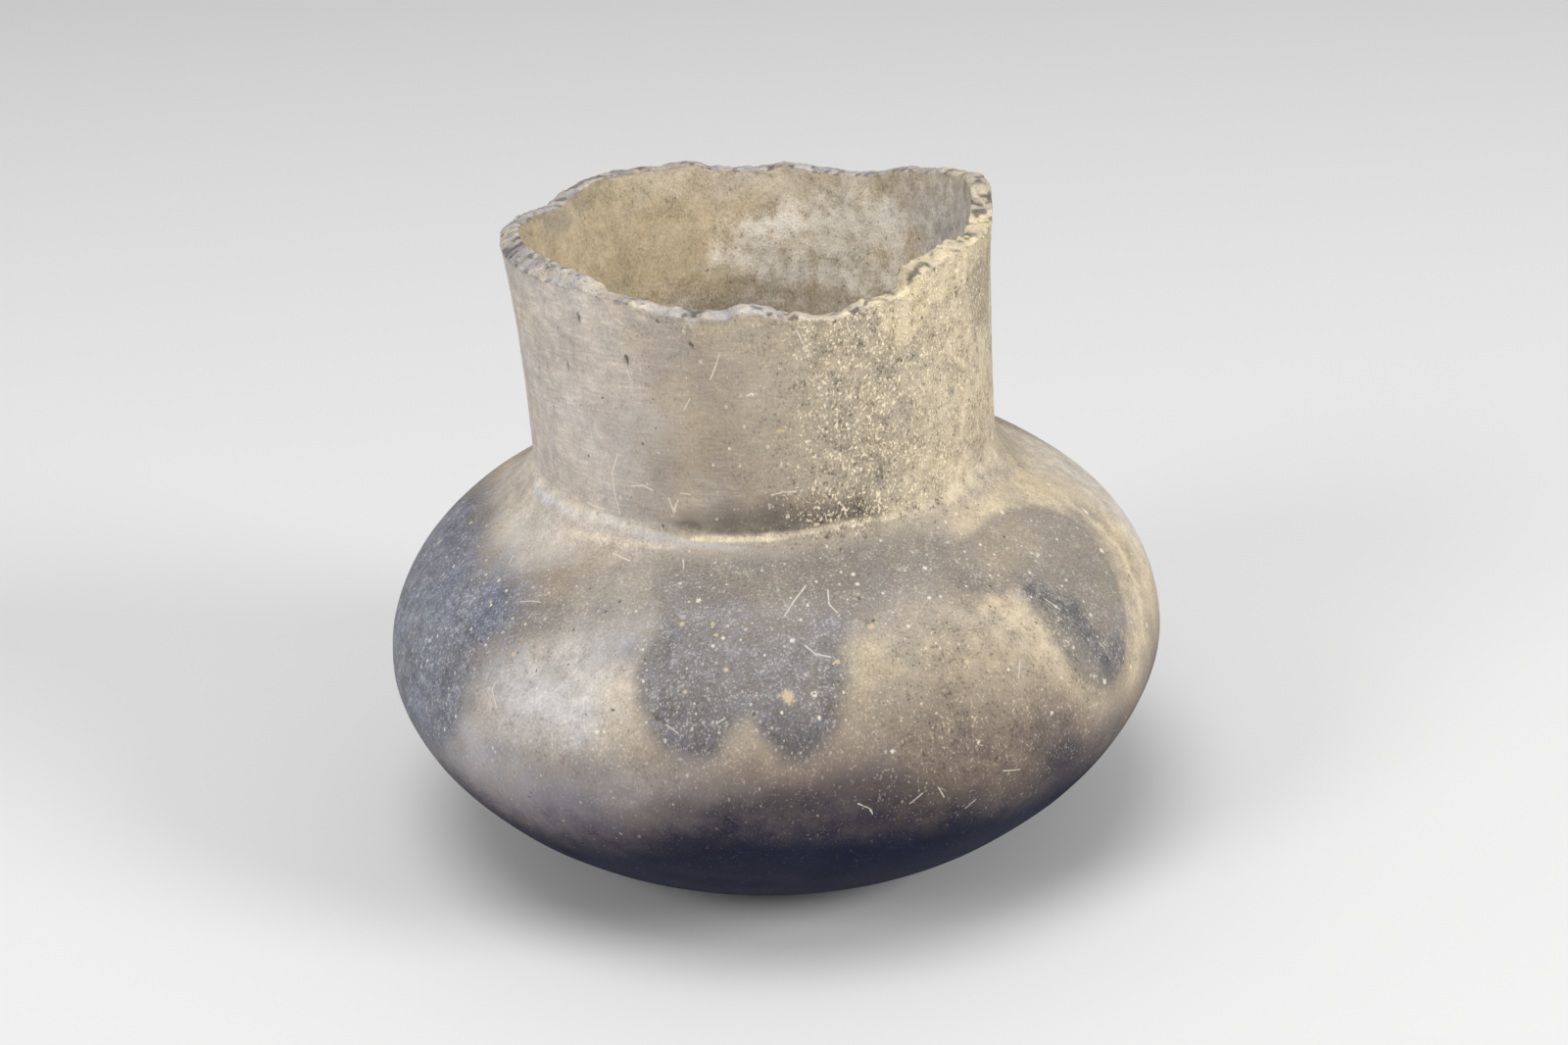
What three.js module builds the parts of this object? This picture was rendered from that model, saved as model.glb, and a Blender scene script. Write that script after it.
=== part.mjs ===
// A hand-built earthenware water bottle: a squat round body, a wide upright neck, a broken rim.
//
// The pot is made up the way a potter builds it: a pressed base disc, coils of clay laid on it one by one,
// a neck of three coils stood on the shoulder, and a strip of clay smeared into the corner at the neck's foot.
// Each is its own closed body. A narrow line is left at every joint where the clay was luted and smoothed over.
//
// Millimetres, +Z up. The origin is the middle of the flat foot. Azimuth runs counter-clockwise from +X,
// seen from above, so the front of the pot is at 270 degrees.

import * as THREE from "three";
import { mergeVertices } from "three/addons/utils/BufferGeometryUtils.js";

// Body sizes
const BELLY_RADIUS = 100;
const BELLY_HEIGHT = 54.2;
const FOOT_RADIUS = 44.3;
const FOOT_EDGE_ROUNDING = 4;
const BODY_WALL = 6;
const BASE_THICKNESS = 8;

// How square the outline is below and above the belly: 2 is a true oval, more is squarer
const LOWER_FULLNESS = 1.7;
const UPPER_FULLNESS = 2.16;

// Neck sizes
const NECK_SEAT_HEIGHT = 99.9;
const NECK_FOOT_RADIUS = 58.9;
const NECK_WAIST_RADIUS = 58.7;
const RIM_RADIUS = 60.8;
const RIM_HEIGHT = 168;
const NECK_WALL = 5.2;

// The hand-built neck leans: the right side and the back stand higher, and the centre line drifts to the left
const SEAT_LEAN = THREE.MathUtils.degToRad(1);
const RIM_LEAN = THREE.MathUtils.degToRad(2.8);
const BACK_LIFT = THREE.MathUtils.degToRad(0.75);

// Coils and joints. A joint face slopes up towards the inside, where the coil was dragged down over the last one
const BASE_DISC_REACH = 6;
const BODY_COIL_NAMES = [
  "lower_body_coil_1",
  "lower_body_coil_2",
  "lower_body_coil_3",
  "belly_coil",
  "shoulder_coil_1",
  "shoulder_coil_2",
  "shoulder_coil_3",
];
const NECK_COIL_NAMES = ["neck_coil_1", "neck_coil_2", "rim_coil"];
const COIL_LAP = 3;
const JOINT_GAP = 0.3;

// The broken rim: at an azimuth in degrees, how far the break drops below the rim height on the inside of the
// wall, and the bevel, which is how much lower still its outer edge lies
const RIM_BREAK = [
  { azimuth: 0, drop: 2, bevel: 0.5 },
  { azimuth: 21, drop: 3.2, bevel: 0.5 },
  { azimuth: 38, drop: 6, bevel: 0.5 },
  { azimuth: 58, drop: 9.2, bevel: 0.6 },
  { azimuth: 68, drop: 8.2, bevel: 0.4 },
  { azimuth: 79, drop: 6.5, bevel: 0.4 },
  { azimuth: 88, drop: 7.4, bevel: 0.5 },
  { azimuth: 104, drop: 3.8, bevel: 0.4 },
  { azimuth: 122, drop: 2.6, bevel: 0.4 },
  { azimuth: 138, drop: 2, bevel: 0.5 },
  { azimuth: 149, drop: 4.8, bevel: 0.6 },
  { azimuth: 158, drop: 3.6, bevel: 0.6 },
  { azimuth: 184, drop: 0.6, bevel: 1 },
  { azimuth: 200, drop: 0.4, bevel: 2.6 },
  { azimuth: 214, drop: 0.9, bevel: 2.9 },
  { azimuth: 226, drop: 2.3, bevel: 2.2 },
  { azimuth: 232, drop: 4.4, bevel: 0.6 },
  { azimuth: 237, drop: 6.9, bevel: -0.9 },
  { azimuth: 242, drop: 7.1, bevel: -1.2 },
  { azimuth: 253, drop: 8.9, bevel: 0.4 },
  { azimuth: 264, drop: 9.9, bevel: 0.4 },
  { azimuth: 272, drop: 8.9, bevel: 0.5 },
  { azimuth: 279, drop: 12.1, bevel: -0.6 },
  { azimuth: 288, drop: 14.2, bevel: -0.6 },
  { azimuth: 297, drop: 12.3, bevel: -0.4 },
  { azimuth: 307, drop: 11.6, bevel: 0.6 },
  { azimuth: 311, drop: 6.9, bevel: 1.4 },
  { azimuth: 325, drop: 5.6, bevel: 1.2 },
  { azimuth: 340, drop: 7.4, bevel: 0.8 },
  { azimuth: 350, drop: 6.2, bevel: 0.6 },
];

// The clay strip at the neck's foot: how far it spreads on the shoulder and climbs the neck, and how much more
// or less of each it has on its way round
const STRIP_SPREAD = 8;
const STRIP_CLIMB = 5;
const STRIP_UNEVENNESS = [
  { azimuth: 20, spread: 1, climb: 1 },
  { azimuth: 90, spread: 1, climb: 1 },
  { azimuth: 160, spread: 1.15, climb: 1.2 },
  { azimuth: 205, spread: 1.5, climb: 1.5 },
  { azimuth: 235, spread: 1.25, climb: 1.3 },
  { azimuth: 252, spread: 0.75, climb: 0.85 },
  { azimuth: 300, spread: 0.7, climb: 0.75 },
  { azimuth: 325, spread: 1.15, climb: 1 },
];

// How far the strip's hollow face bows out of the corner: 0 is the corner itself, 0.5 a straight slope
const STRIP_HOLLOW = 0.2;

// Facets
const COLUMNS = 64;
const RIM_COLUMNS = 128;
const BODY_ROWS = 3;
const BASE_ROWS = 4;
const NECK_ROWS = 2;
const RIM_ROWS = 3;
const STRIP_ROWS = 3;

// Surface colours, read from the front of the pot
const CLAY = { color: 0x8b7d6a, roughness: 0.86, metalness: 0 };
const CLOUDED_CLAY = { color: 0x6b675f, roughness: 0.82, metalness: 0 };
const NECK_CLAY = { color: 0x85745f, roughness: 0.88, metalness: 0 };
const STRIP_CLAY = { color: 0xa3916f, roughness: 0.92, metalness: 0 };

// One side of a rounded outline: radius = belly radius x sqrt(1 - (height from the belly / reach) ^ fullness)
class WallCurve extends THREE.Curve {
  constructor(reach, fullness, startHeight, endHeight) {
    super();
    this.reach = reach;
    this.fullness = fullness;
    this.startHeight = startHeight;
    this.endHeight = endHeight;
  }

  radiusAt(height) {
    const share = Math.abs(height - BELLY_HEIGHT) / this.reach;
    return BELLY_RADIUS * Math.sqrt(1 - share ** this.fullness);
  }

  getPoint(t, target = new THREE.Vector2()) {
    const height = THREE.MathUtils.lerp(this.startHeight, this.endHeight, t);
    return target.set(this.radiusAt(height), height);
  }
}

// How far from the belly the wall curve lies when it has narrowed to a radius
function reachShare(radius, fullness) {
  return (1 - (radius / BELLY_RADIUS) ** 2) ** (1 / fullness);
}

const mouthRadius = NECK_FOOT_RADIUS - NECK_WALL;
const lowerReach = BELLY_HEIGHT / reachShare(FOOT_RADIUS, LOWER_FULLNESS);
const upperReach = (NECK_SEAT_HEIGHT - BELLY_HEIGHT) / reachShare(NECK_FOOT_RADIUS, UPPER_FULLNESS);

function lowerWallHeight(radius) {
  return BELLY_HEIGHT - lowerReach * reachShare(radius, LOWER_FULLNESS);
}

function upperWallHeight(radius) {
  return BELLY_HEIGHT + upperReach * reachShare(radius, UPPER_FULLNESS);
}

// The pot's outer outline, as radius and height, from the edge of the flat foot to the hole under the neck
function bodyOutline() {
  const wallStart = FOOT_RADIUS + FOOT_EDGE_ROUNDING;
  const wallStartHeight = lowerWallHeight(wallStart);
  const outline = new THREE.CurvePath();
  outline.add(
    new THREE.QuadraticBezierCurve(
      new THREE.Vector2(FOOT_RADIUS - FOOT_EDGE_ROUNDING, 0),
      new THREE.Vector2(FOOT_RADIUS, 0),
      new THREE.Vector2(wallStart, wallStartHeight),
    ),
  );
  outline.add(new WallCurve(lowerReach, LOWER_FULLNESS, wallStartHeight, BELLY_HEIGHT));
  outline.add(new WallCurve(upperReach, UPPER_FULLNESS, BELLY_HEIGHT, upperWallHeight(mouthRadius)));
  return outline;
}

const outline = bodyOutline();
const outlineLength = outline.getLength();

// A point of the body's wall: a distance along the outline, and a depth into the clay from the outer surface.
// Above the belly the inside stops square at the mouth
function wallPoint(distance, depth) {
  const share = THREE.MathUtils.clamp(distance / outlineLength, 0, 1);
  const point = outline.getPoint(share);
  const along = outline.getTangent(share);
  const radius = point.x - along.y * depth;
  const stop = point.y > BELLY_HEIGHT ? mouthRadius : 0;
  return new THREE.Vector2(Math.max(radius, stop), point.y + along.x * depth);
}

// The neck's outer radius at a height: a parabola through the foot, the waist halfway up and the rim
function neckRadius(height) {
  const t = (height - NECK_SEAT_HEIGHT) / (RIM_HEIGHT - NECK_SEAT_HEIGHT);
  const foot = NECK_FOOT_RADIUS * (1 - t) * (1 - 2 * t);
  const waist = NECK_WAIST_RADIUS * 4 * t * (1 - t);
  const rim = RIM_RADIUS * t * (2 * t - 1);
  return foot + waist + rim;
}

function neckPoint(height, depth) {
  return new THREE.Vector2(neckRadius(height) - depth, height);
}

// A tilt that grows evenly from the foot to the neck's seat, and from there to the rim, and how far the centre
// line has drifted by a height (the tilt added up)
function tiltAt(height, seatTilt, rimTilt) {
  if (height < NECK_SEAT_HEIGHT) {
    const angle = (seatTilt * height) / NECK_SEAT_HEIGHT;
    return { angle, drift: (angle * height) / 2 };
  }
  const climb = height - NECK_SEAT_HEIGHT;
  const gain = ((rimTilt - seatTilt) * climb) / (RIM_HEIGHT - NECK_SEAT_HEIGHT);
  const drift = (seatTilt * NECK_SEAT_HEIGHT) / 2 + (seatTilt + gain / 2) * climb;
  return { angle: seatTilt + gain, drift };
}

// Puts a section point (radius, height) at an azimuth: a ring, tipped both ways, on the drifting centre line
function place(point, azimuth) {
  const lean = tiltAt(point.y, SEAT_LEAN, RIM_LEAN);
  const lift = tiltAt(point.y, BACK_LIFT, BACK_LIFT);
  const sideways = point.x * Math.cos(azimuth);
  const backwards = point.x * Math.sin(azimuth);
  return new THREE.Vector3(
    sideways * Math.cos(lean.angle) - lean.drift,
    backwards * Math.cos(lift.angle) - lift.drift,
    point.y + sideways * Math.sin(lean.angle) + backwards * Math.sin(lift.angle),
  );
}

// Evenly spaced values from first to last, both included
function steps(first, last, count) {
  return Array.from({ length: count + 1 }, (_, i) => THREE.MathUtils.lerp(first, last, i / count));
}

// A value between the rows of a table that goes round the pot, such as the rim's drop
function aroundPot(rows, key, azimuth) {
  const degrees = THREE.MathUtils.euclideanModulo(THREE.MathUtils.radToDeg(azimuth), 360);
  const found = rows.findIndex((row) => row.azimuth > degrees);
  const next = rows[Math.max(found, 0)];
  const last = rows.at(Math.max(found, 0) - 1);
  const span = THREE.MathUtils.euclideanModulo(next.azimuth - last.azimuth, 360);
  const share = THREE.MathUtils.euclideanModulo(degrees - last.azimuth, 360) / span;
  return THREE.MathUtils.lerp(last[key], next[key], share);
}

// Sweeps a closed section round the pot. sectionAt(azimuth) gives the section's points, outer wall first and
// going up, then back down the inside. onAxis closes a disc whose section starts and ends at the axis.
function sweep(sectionAt, columns, onAxis = false) {
  const points = [];
  const indices = [];
  const sections = steps(0, 2 * Math.PI, columns)
    .slice(0, columns)
    .map((azimuth) => sectionAt(azimuth).map((point) => place(point, azimuth)));
  const size = sections[0].length;
  sections.forEach((section) => section.forEach((point) => points.push(point.x, point.y, point.z)));
  const links = onAxis ? size - 1 : size;
  for (let column = 0; column < columns; column += 1) {
    const here = column * size;
    const beside = ((column + 1) % columns) * size;
    for (let row = 0; row < links; row += 1) {
      const up = (row + 1) % size;
      indices.push(here + row, beside + row, beside + up);
      indices.push(here + row, beside + up, here + up);
    }
  }
  const geometry = new THREE.BufferGeometry();
  geometry.setAttribute("position", new THREE.Float32BufferAttribute(points, 3));
  geometry.setIndex(indices);
  return withoutFlatTriangles(mergeVertices(geometry, 1e-3));
}

// Drops the triangles that lost their third corner where vertices met at the axis
function withoutFlatTriangles(geometry) {
  const old = geometry.index.array;
  const kept = [];
  for (let i = 0; i < old.length; i += 3) {
    const [a, b, c] = [old[i], old[i + 1], old[i + 2]];
    if (a !== b && b !== c && c !== a) {
      kept.push(a, b, c);
    }
  }
  geometry.setIndex(kept);
  geometry.computeVertexNormals();
  return geometry;
}

function piece(name, geometry, look) {
  const mesh = new THREE.Mesh(geometry, new THREE.MeshStandardMaterial(look));
  mesh.name = name;
  return mesh;
}

// Joints, as distances along the body outline and as heights up the neck
const footEdgeLength = outline.curves[0].getLength();
const firstJoint = footEdgeLength + BASE_DISC_REACH;
const bodyJoints = steps(firstJoint, outlineLength, BODY_COIL_NAMES.length);
const deepestBreak = Math.max(...RIM_BREAK.map((row) => row.drop + Math.max(row.bevel, 0)));
const neckJoints = steps(NECK_SEAT_HEIGHT, RIM_HEIGHT - deepestBreak, NECK_COIL_NAMES.length);

// The base disc: a flat underside, a soft edge, the start of the wall, and a level floor inside
function baseDisc() {
  const rim = steps(0, firstJoint - JOINT_GAP / 2, BASE_ROWS).map((distance) => wallPoint(distance, 0));
  const innerRim = wallPoint(firstJoint + COIL_LAP - JOINT_GAP / 2, BODY_WALL);
  const floorEdge = new THREE.Vector2(FOOT_RADIUS - FOOT_EDGE_ROUNDING, BASE_THICKNESS);
  const underside = [new THREE.Vector2(0, 0)];
  const floor = [floorEdge, new THREE.Vector2(0, BASE_THICKNESS)];
  return sweep(() => [...underside, ...rim, innerRim, ...floor], COLUMNS, true);
}

// A body coil between two joints. The last one ends square, in the hole under the neck
function bodyCoil(start, end, isLast) {
  const outer = steps(start + JOINT_GAP / 2, isLast ? end : end - JOINT_GAP / 2, BODY_ROWS);
  const innerEnd = isLast ? end : end + COIL_LAP - JOINT_GAP / 2;
  const inner = steps(innerEnd, start + COIL_LAP + JOINT_GAP / 2, BODY_ROWS);
  const section = [
    ...outer.map((distance) => wallPoint(distance, 0)),
    ...inner.map((distance) => wallPoint(distance, BODY_WALL)),
  ];
  return sweep(() => section, COLUMNS);
}

// The bottom of a neck coil: the first stands on the curved shoulder, the others on the coil below
function neckCoilFoot(index, start) {
  if (index > 0) {
    return {
      outer: neckPoint(start + JOINT_GAP / 2, 0),
      inner: neckPoint(start + COIL_LAP + JOINT_GAP / 2, NECK_WALL),
    };
  }
  return {
    outer: new THREE.Vector2(NECK_FOOT_RADIUS, upperWallHeight(NECK_FOOT_RADIUS) + JOINT_GAP),
    inner: new THREE.Vector2(mouthRadius, upperWallHeight(mouthRadius) + JOINT_GAP),
  };
}

function neckCoil(index, start, end) {
  const foot = neckCoilFoot(index, start);
  const outer = steps(foot.outer.y, end - JOINT_GAP / 2, NECK_ROWS);
  const inner = steps(end + COIL_LAP - JOINT_GAP / 2, foot.inner.y, NECK_ROWS);
  const section = [
    ...outer.map((height) => neckPoint(height, 0)),
    ...inner.map((height) => neckPoint(height, NECK_WALL)),
  ];
  section[0] = foot.outer;
  section[section.length - 1] = foot.inner;
  return sweep(() => section, COLUMNS);
}

// The top coil ends in the break, which runs up and down round the pot and is bevelled on the left
function rimCoil(index, start) {
  const foot = neckCoilFoot(index, start);
  const sectionAt = (azimuth) => {
    const innerTop = RIM_HEIGHT - aroundPot(RIM_BREAK, "drop", azimuth);
    const outerTop = innerTop - aroundPot(RIM_BREAK, "bevel", azimuth);
    return [
      ...steps(foot.outer.y, outerTop, RIM_ROWS).map((height) => neckPoint(height, 0)),
      ...steps(innerTop, foot.inner.y, RIM_ROWS).map((height) => neckPoint(height, NECK_WALL)),
    ];
  };
  return sweep(sectionAt, RIM_COLUMNS);
}

// The clay strip: its back follows the shoulder and the neck, its face is a hollow curve between its two edges
function lutingStrip() {
  const neckFace = NECK_FOOT_RADIUS + JOINT_GAP;
  const cornerHeight = upperWallHeight(neckFace) + JOINT_GAP;
  const sectionAt = (azimuth) => {
    const spread = STRIP_SPREAD * aroundPot(STRIP_UNEVENNESS, "spread", azimuth);
    const climb = STRIP_CLIMB * aroundPot(STRIP_UNEVENNESS, "climb", azimuth);
    const edge = new THREE.Vector2(neckFace + spread, upperWallHeight(neckFace + spread) + JOINT_GAP);
    const top = new THREE.Vector2(neckRadius(cornerHeight + climb) + JOINT_GAP, cornerHeight + climb);
    const hollow = new THREE.Vector2(neckFace + spread * STRIP_HOLLOW, cornerHeight + climb * STRIP_HOLLOW);
    const face = new THREE.QuadraticBezierCurve(edge, hollow, top).getPoints(STRIP_ROWS);
    const back = steps(neckFace, neckFace + spread, STRIP_ROWS).slice(0, STRIP_ROWS);
    return [
      ...face,
      ...back.map((radius) => new THREE.Vector2(radius, upperWallHeight(radius) + JOINT_GAP)),
    ];
  };
  return sweep(sectionAt, COLUMNS);
}

function bodyPieces() {
  return BODY_COIL_NAMES.map((name, i) => {
    const isLast = i === BODY_COIL_NAMES.length - 1;
    const look = i % 2 === 0 ? CLOUDED_CLAY : CLAY;
    return piece(name, bodyCoil(bodyJoints[i], bodyJoints[i + 1], isLast), look);
  });
}

function neckPieces() {
  return NECK_COIL_NAMES.map((name, i) => {
    const isRim = i === NECK_COIL_NAMES.length - 1;
    const shape = isRim ? rimCoil(i, neckJoints[i]) : neckCoil(i, neckJoints[i], neckJoints[i + 1]);
    return piece(name, shape, NECK_CLAY);
  });
}

const bottle = new THREE.Group();
bottle.name = "water_bottle";
bottle.add(piece("base_disc", baseDisc(), CLAY));
bottle.add(...bodyPieces());
bottle.add(...neckPieces());
bottle.add(piece("neck_luting_strip", lutingStrip(), STRIP_CLAY));

export default bottle;
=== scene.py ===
"""Dresses the hand-built earthenware water bottle: uneven coil-built walls, a broken rim, smoky fire
clouds, worn granular clay and crushed-shell temper.

The whole skin of the pot is one grid of points, rows by columns. A column is an azimuth, counter-clockwise
from +X seen from above, so the front is at 270 degrees. The rows run from the middle of the foot up the
outside, over the broken lip and down the inside to the middle of the floor. Each piece of clay is a band of
those rows, closed by its joint faces. Neighbours share their edge rows, so the smoothed joints between the
coils don't show.
"""

import itertools
import math

import bpy
import numpy as np
from mathutils import Matrix, Vector


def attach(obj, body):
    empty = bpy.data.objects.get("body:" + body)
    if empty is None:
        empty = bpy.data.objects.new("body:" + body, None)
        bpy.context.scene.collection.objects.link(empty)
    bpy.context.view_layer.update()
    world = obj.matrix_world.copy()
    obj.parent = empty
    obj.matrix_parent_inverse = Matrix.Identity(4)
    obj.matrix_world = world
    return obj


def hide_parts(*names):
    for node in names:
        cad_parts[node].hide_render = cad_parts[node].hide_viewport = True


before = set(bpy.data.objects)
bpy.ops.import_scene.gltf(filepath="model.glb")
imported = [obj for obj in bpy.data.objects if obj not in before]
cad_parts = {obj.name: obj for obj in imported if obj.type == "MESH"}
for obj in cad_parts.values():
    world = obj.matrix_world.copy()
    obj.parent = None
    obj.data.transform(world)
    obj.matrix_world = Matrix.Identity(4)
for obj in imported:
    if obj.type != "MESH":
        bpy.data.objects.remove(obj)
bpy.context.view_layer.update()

MM = 0.001

# The pot's sizes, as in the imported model
BELLY_RADIUS = 100 * MM
BELLY_HEIGHT = 54.2 * MM
FOOT_RADIUS = 44.3 * MM
FOOT_EDGE_ROUNDING = 4 * MM
BODY_WALL = 6 * MM
BASE_THICKNESS = 8 * MM
LOWER_FULLNESS = 1.7
UPPER_FULLNESS = 2.16
NECK_SEAT_HEIGHT = 99.9 * MM
NECK_FOOT_RADIUS = 58.9 * MM
NECK_WAIST_RADIUS = 58.7 * MM
RIM_RADIUS = 60.8 * MM
RIM_HEIGHT = 168 * MM
NECK_WALL = 5.2 * MM
SEAT_LEAN = math.radians(1)
RIM_LEAN = math.radians(2.8)
BACK_LIFT = math.radians(0.75)
BASE_DISC_REACH = 6 * MM
COIL_LAP = 3 * MM
FLAT_RADIUS = FOOT_RADIUS - FOOT_EDGE_ROUNDING
WIDE_FOOT_RADIUS = FOOT_RADIUS + FOOT_EDGE_ROUNDING
MOUTH_RADIUS = NECK_FOOT_RADIUS - NECK_WALL

# How deep the hidden joint faces lie under the clay's even shape, so that its uneven skin covers them
JOINT_DEPTH = 0.8 * MM

# The corner that the strip's face bends round, as shares of the strip's reach from the neck and its climb
STRIP_CORNER_OUT = 0.22
STRIP_CORNER_UP = 0.24

BODY_COILS = ["lower_body_coil_1", "lower_body_coil_2", "lower_body_coil_3", "belly_coil",
              "shoulder_coil_1", "shoulder_coil_2", "shoulder_coil_3"]
NECK_COILS = ["neck_coil_1", "neck_coil_2", "rim_coil"]

# The grid: columns round the pot, and the spacing of its rows
COLUMNS = 960
BODY_ROW = 1.0 * MM
NECK_ROW = 0.65 * MM
INNER_NECK_ROW = 0.85 * MM
INNER_BODY_ROW = 3.0 * MM
HIDDEN_ROW = 2 * MM
FLAT_ROW = 4 * MM
POLE_RADIUS = 0.5 * MM
LIP_ROWS = 12
STRIP_ROWS = 16
FLOOR_EDGE_ROWS = 6

# The broken rim: azimuth, and the heights of the break at the outer and at the inner edge, in millimetres
RIM_LINE = [
    (0, 165.6, 166), (10, 165.8, 166), (21, 164.4, 164.8), (29, 163.3, 163.7), (35, 162.1, 162.5),
    (47, 160.6, 161), (57, 158.4, 159), (62, 158.2, 158.7), (66, 159.2, 159.4), (70, 159.6, 159.8),
    (75, 160.6, 160.9), (80, 161.2, 161.5), (87, 160.2, 160.5), (91, 160.8, 161.1), (96, 161.2, 161.5),
    (100, 162.3, 162.6), (104, 163.9, 164.2), (109, 164.3, 164.6), (112, 164, 164.3), (118, 165, 165.2),
    (126, 165.4, 165.7), (136, 165.6, 165.9), (142, 164.6, 164.9), (149, 162.9, 163.2), (156, 163.6, 163.9),
    (165, 164.4, 164.9), (175, 165.4, 166.4), (184, 165.8, 167.5), (193, 164.6, 167.4), (205, 164.3, 167.4),
    (214, 164.2, 167.1), (220, 163.9, 166.5), (226, 163.5, 165.7), (230, 163.8, 164.4), (233, 163.2, 163.2),
    (235.5, 162.6, 161.2), (238, 162.2, 160.9), (241, 162.2, 161), (246, 160.9, 160.6), (249, 159.7, 159.5),
    (253, 158.8, 159.1), (257, 158.2, 158.7), (262, 157.9, 158.2), (265, 157.6, 158), (268, 158.5, 159),
    (271, 158.8, 159.2), (274, 158, 158.6), (277, 156.7, 157.1), (279, 156.3, 155.9), (283, 155.7, 155.3),
    (288, 154.4, 153.8), (291, 154.8, 154.2), (295, 155.3, 154.9), (300, 156.2, 156), (305, 156, 155.9),
    (307.6, 156.8, 156.9), (308.4, 157.6, 157.8), (309.2, 160.2, 161), (313, 160, 161.2),
    (319, 160.2, 161.5), (325, 161.2, 162.4), (334, 160.2, 161), (342, 160, 160.4), (350, 161, 161.4),
    (355, 163.2, 163.6),
]

# The clay strip smeared into the corner at the neck's foot: azimuth, and in millimetres its spread over the
# shoulder and its climb up the neck
STRIP_LINE = [
    (10, 8, 5), (60, 9, 5.5), (110, 7, 4.5), (160, 9, 6), (190, 12, 7), (215, 12, 7.5), (232, 10, 6),
    (243, 7, 4.4), (252, 4.4, 3.2), (270, 3.4, 3), (295, 3.8, 3.2), (306, 5, 3.6), (318, 8, 4.6),
    (335, 10, 5.5),
]


def around(table, column, degrees):
    """A table's column at every azimuth: straight between its rows, and closed round the pot."""
    rows = np.array(table, dtype=float)
    knots = np.concatenate([rows[-1:, 0] - 360, rows[:, 0], rows[:1, 0] + 360])
    values = np.concatenate([rows[-1:, column], rows[:, column], rows[:1, column]])
    return np.interp(degrees, knots, values)


def smooth_step(low, high, value):
    """0 below low, 1 above high, and a smooth rise between."""
    t = np.clip((value - low) / (high - low), 0, 1)
    return t * t * (3 - 2 * t)


# Large numbers that scramble the place of a lattice corner and a seed into a value that looks random
PLACE_FACTORS = (73856093, 19349663, 83492791)
SEED_FACTOR = 2654435761
SCRAMBLERS = ((13, 1274126177), (16, 1103515245))
ALL_BITS = 0xFFFFFFFF
HALF_RANGE = 0x7FFFFFFF


def lattice_noise(points, cell, seed):
    """Smooth noise from -1 to 1: fixed random values at a lattice's corners, blended by 3 t^2 - 2 t^3."""
    scaled = points / cell
    base = np.floor(scaled).astype(np.int64)
    part = scaled - base
    part = part * part * (3 - 2 * part)
    total = np.zeros(points.shape[:-1])
    for corner in itertools.product((0, 1), repeat=3):
        mixed = seed * SEED_FACTOR
        weight = np.ones(points.shape[:-1])
        for axis, factor in enumerate(PLACE_FACTORS):
            mixed = mixed ^ (base[..., axis] + corner[axis]) * factor
            weight = weight * (part[..., axis] if corner[axis] else 1 - part[..., axis])
        mixed = mixed & ALL_BITS
        for shift, factor in SCRAMBLERS:
            mixed = ((mixed ^ (mixed >> shift)) * factor) & ALL_BITS
        total += weight * (mixed / HALF_RANGE - 1)
    return total


def layered_noise(points, cell, seed, layers=3):
    """Noise of a cell size plus finer layers, each of half the cell and strength of the one before."""
    total = np.zeros(points.shape[:-1])
    for layer in range(layers):
        total += lattice_noise(points, cell / 2**layer, seed + layer) / 2**layer
    return total / (2 - 0.5 ** (layers - 1))


def curve_between(start, corner, end, t):
    """A quadratic curve: (1 - t)^2 x start + 2 t (1 - t) x corner + t^2 x end."""
    return (1 - t) ** 2 * start + 2 * t * (1 - t) * corner + t**2 * end


def reach_share(radius, fullness):
    """How far from the belly the wall has narrowed to a radius, as a share of the outline's reach."""
    return (1 - (radius / BELLY_RADIUS) ** 2) ** (1 / fullness)


LOWER_REACH = BELLY_HEIGHT / reach_share(FOOT_RADIUS, LOWER_FULLNESS)
UPPER_REACH = (NECK_SEAT_HEIGHT - BELLY_HEIGHT) / reach_share(NECK_FOOT_RADIUS, UPPER_FULLNESS)
MOUTH_HEIGHT = BELLY_HEIGHT + UPPER_REACH * reach_share(MOUTH_RADIUS, UPPER_FULLNESS)


def body_outline():
    """Distance, radius and height along the body's outline: the foot's soft edge as a quadratic curve, then
    radius = belly radius x sqrt(1 - (height from the belly / reach) ^ fullness), below and above it."""
    edge_points = 80
    wall_points = 2000
    wide_height = BELLY_HEIGHT - LOWER_REACH * reach_share(WIDE_FOOT_RADIUS, LOWER_FULLNESS)
    t = np.linspace(0, 1, edge_points)[:-1]
    edge_radius = curve_between(FLAT_RADIUS, FOOT_RADIUS, WIDE_FOOT_RADIUS, t)
    low = np.linspace(wide_height, BELLY_HEIGHT, wall_points)[:-1]
    high = np.linspace(BELLY_HEIGHT, MOUTH_HEIGHT, wall_points)
    low_radius = BELLY_RADIUS * np.sqrt(1 - ((BELLY_HEIGHT - low) / LOWER_REACH) ** LOWER_FULLNESS)
    high_radius = BELLY_RADIUS * np.sqrt(1 - ((high - BELLY_HEIGHT) / UPPER_REACH) ** UPPER_FULLNESS)
    radius = np.concatenate([edge_radius, low_radius, high_radius])
    height = np.concatenate([t**2 * wide_height, low, high])
    distance = np.concatenate([[0], np.cumsum(np.hypot(np.diff(radius), np.diff(height)))])
    return distance, radius, height


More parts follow.
